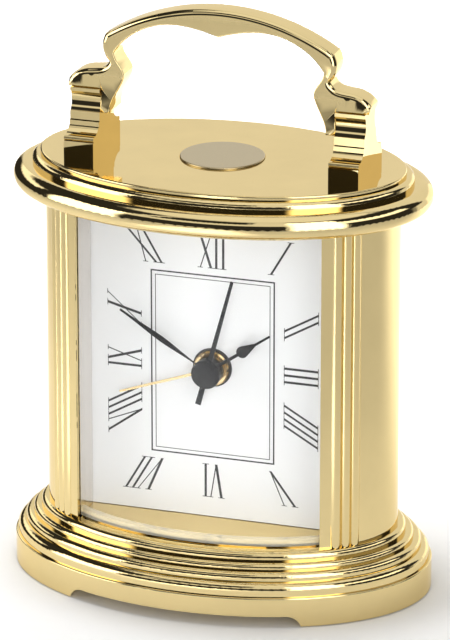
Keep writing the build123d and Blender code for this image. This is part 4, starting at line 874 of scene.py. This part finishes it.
class CLOCK_OT_studio(bpy.types.Operator):
    """Set the floor, the soft lights, the room and the camera"""

    bl_idname = "clock.studio"
    bl_label = "Studio"

    # azimuth from and to, elevation from and to in degrees round from the front, brightness setting and
    # share of it; later panels cover earlier ones
    panels = (
        (125, 236, -25, 60, "wall", 1.0),
        (148, 186, -25, 12, "wall", 1.6),
        (-ALL_ROUND, ALL_ROUND, 62, 110, "ceiling", 1.0),
        (-150, 118, -25, 62, "flag", 1.0),
        (115, 142, 14, 60, "flag", 1.0),
        (-150, -97, 18, 30, "panel", 0.5),
        (-80, -42, -12, 36, "panel", 1.0),
        (-42, 26, 26, 62, "wall", 1.0),
        (-36, 8, 38, 60, "flag", 1.0),
        (-36, -4, -25, -6, "wall", 0.78),
        (26, 55, -25, 56, "panel", 1.0),
        (55, 118, 24, 40, "panel", 0.6),
    )

    def execute(self, context):
        scene = context.scene
        studio = scene.clock_studio
        self.floor(scene, studio.floor_half)
        self.room(scene, studio)
        self.lights(studio)
        self.camera(scene, studio)
        scene.view_settings.view_transform = "Standard"
        return {"FINISHED"}

    def floor(self, scene, half):
        made = bmesh.new()
        bmesh.ops.create_grid(made, x_segments=8, y_segments=8, size=half)
        mesh = mesh_from(made, "studio_floor")
        floor = bpy.data.objects.new("studio_floor", mesh)
        scene.collection.objects.link(floor)
        mesh.materials.append(floor_paper("floor_paper", tuple(scene.clock_colours.floor), half))

    def lights(self, studio):
        """Two soft boxes, two square pools of light on the floor, and a strip in front for white lines."""
        self.lamp(
            "key_box", "AREA", studio.key, at=(-0.10, 0.15, 0.90), to=(-0.05, 0.05, 0.0),
            shape="SQUARE", size=0.8, spread=radians(180))
        self.lamp(
            "back_pool", "SPOT", studio.back, at=(0.05, 0.36, 0.60),
            spot_size=radians(60), spot_blend=0.5, use_square=True, shadow_soft_size=0.03)
        self.lamp(
            "left_pool", "SPOT", studio.left, at=(-0.055, 0.02, 0.75),
            spot_size=radians(22), spot_blend=0.35, use_square=True, shadow_soft_size=0.08)
        strip = self.lamp(
            "front_strip", "AREA", studio.strip, at=(-0.02, -0.18, 0.26),
            shape="RECTANGLE", size=0.06, size_y=0.22, spread=radians(14))
        strip.visible_camera = False
        self.lamp(
            "front_fill", "AREA", studio.fill, at=(0.05, -0.80, 0.20), to=(0.0, 0.0, 0.05),
            shape="SQUARE", size=0.3, spread=radians(90))

    def lamp(self, name, kind, power, at, to=None, **values):
        """A lamp that the plate doesn't mirror, turned to a place or straight down."""
        data = bpy.data.lights.new(name, kind)
        data.energy = power
        for key, value in values.items():
            setattr(data, key, value)
        lamp = bpy.data.objects.new(name, data)
        lamp.location = at
        if to:
            aim(lamp, Vector(at) - Vector(to))
        lamp.visible_glossy = False
        bpy.context.scene.collection.objects.link(lamp)
        return lamp

    def camera(self, scene, studio):
        """The photograph's view."""
        data = bpy.data.cameras.new("photo_camera")
        data.sensor_fit = "VERTICAL"
        data.sensor_height = FILM_HEIGHT
        data.lens = studio.lens
        data.clip_start, data.clip_end = 0.01, 50.0
        camera = bpy.data.objects.new("photo_camera", data)
        az, el = studio.azimuth, studio.elevation
        aim(camera, Vector((sin(az) * cos(el), -cos(az) * cos(el), sin(el))))
        camera.location = studio.camera_at
        scene.collection.objects.link(camera)
        scene.camera = camera

    def room(self, scene, studio):
        """Panels by direction: whole in reflections, dimmed on plain surfaces, plain white to the camera."""
        world = bpy.data.worlds.new("studio_room")
        scene.world = world
        world.use_nodes = True
        tree = world.node_tree
        tree.nodes.clear()
        where = tree.nodes.new("ShaderNodeTexCoord")
        parts = tree.nodes.new("ShaderNodeSeparateXYZ")
        tree.links.new(where.outputs["Generated"], parts.inputs[0])
        x, y, z = parts.outputs
        up = maths(tree, "MULTIPLY", maths(tree, "ARCSINE", z, 0), DEGREES)
        turn = maths(tree, "ARCTAN2", x, maths(tree, "MULTIPLY", y, -1))
        round_about = maths(tree, "MULTIPLY", turn, DEGREES)
        light = studio.sky
        for start, end, low, high, key, share in self.panels:
            across = window(tree, round_about, start, end)
            if end > ALL_ROUND:
                rest = end - FULL_TURN
                wrapped = soft_step(tree, round_about, rest + PANEL_EDGE, rest - PANEL_EDGE)
                across = maths(tree, "ADD", across, wrapped)
            mask = maths(tree, "MULTIPLY", across, window(tree, up, low, high))
            change = maths(tree, "SUBTRACT", share * getattr(studio, key), light)
            light = maths(tree, "ADD", light, maths(tree, "MULTIPLY", mask, change))
        path = tree.nodes.new("ShaderNodeLightPath").outputs
        dimmed = maths(tree, "MULTIPLY", path["Is Diffuse Ray"], 1.0 - studio.bounce)
        light = maths(tree, "MULTIPLY", light, maths(tree, "SUBTRACT", 1.0, dimmed))
        plain = maths(tree, "MULTIPLY", maths(tree, "SUBTRACT", 1.0, light), path["Is Camera Ray"])
        shown = tree.nodes.new("ShaderNodeBackground")
        tree.links.new(maths(tree, "ADD", light, plain), shown.inputs["Strength"])
        shown.inputs["Color"].default_value = (1, 1, 1, 1)
        out = tree.nodes.new("ShaderNodeOutputWorld")
        tree.links.new(shown.outputs[0], out.inputs["Surface"])


STEPS = (
    CLOCK_OT_gold,
    CLOCK_OT_dial,
    CLOCK_OT_hands,
    CLOCK_OT_glass,
    CLOCK_OT_movement,
    CLOCK_OT_underside,
    CLOCK_OT_studio,
)


class CLOCK_PT_panel(bpy.types.Panel):
    """Steps that dress the clock"""

    bl_idname = "CLOCK_PT_panel"
    bl_label = "Carriage clock"
    bl_space_type = "VIEW_3D"
    bl_region_type = "UI"
    bl_category = "Clock"

    def draw(self, context):
        for step in STEPS:
            self.layout.operator(step.bl_idname)


SETTINGS = {"clock_colours": ClockColours, "clock_sizes": ClockSizes, "clock_studio": ClockStudio}


def register():
    for group in (*SETTINGS.values(), *STEPS, CLOCK_PT_panel):
        bpy.utils.register_class(group)
    for name, group in SETTINGS.items():
        setattr(bpy.types.Scene, name, PointerProperty(type=group))


def unregister():
    for name in SETTINGS:
        delattr(bpy.types.Scene, name)
    for group in (CLOCK_PT_panel, *STEPS, *SETTINGS.values()):
        bpy.utils.unregister_class(group)


def main():
    register()
    for step in STEPS:
        family, name = step.bl_idname.split(".")
        getattr(getattr(bpy.ops, family), name)()


if __name__ == "__main__":
    main()
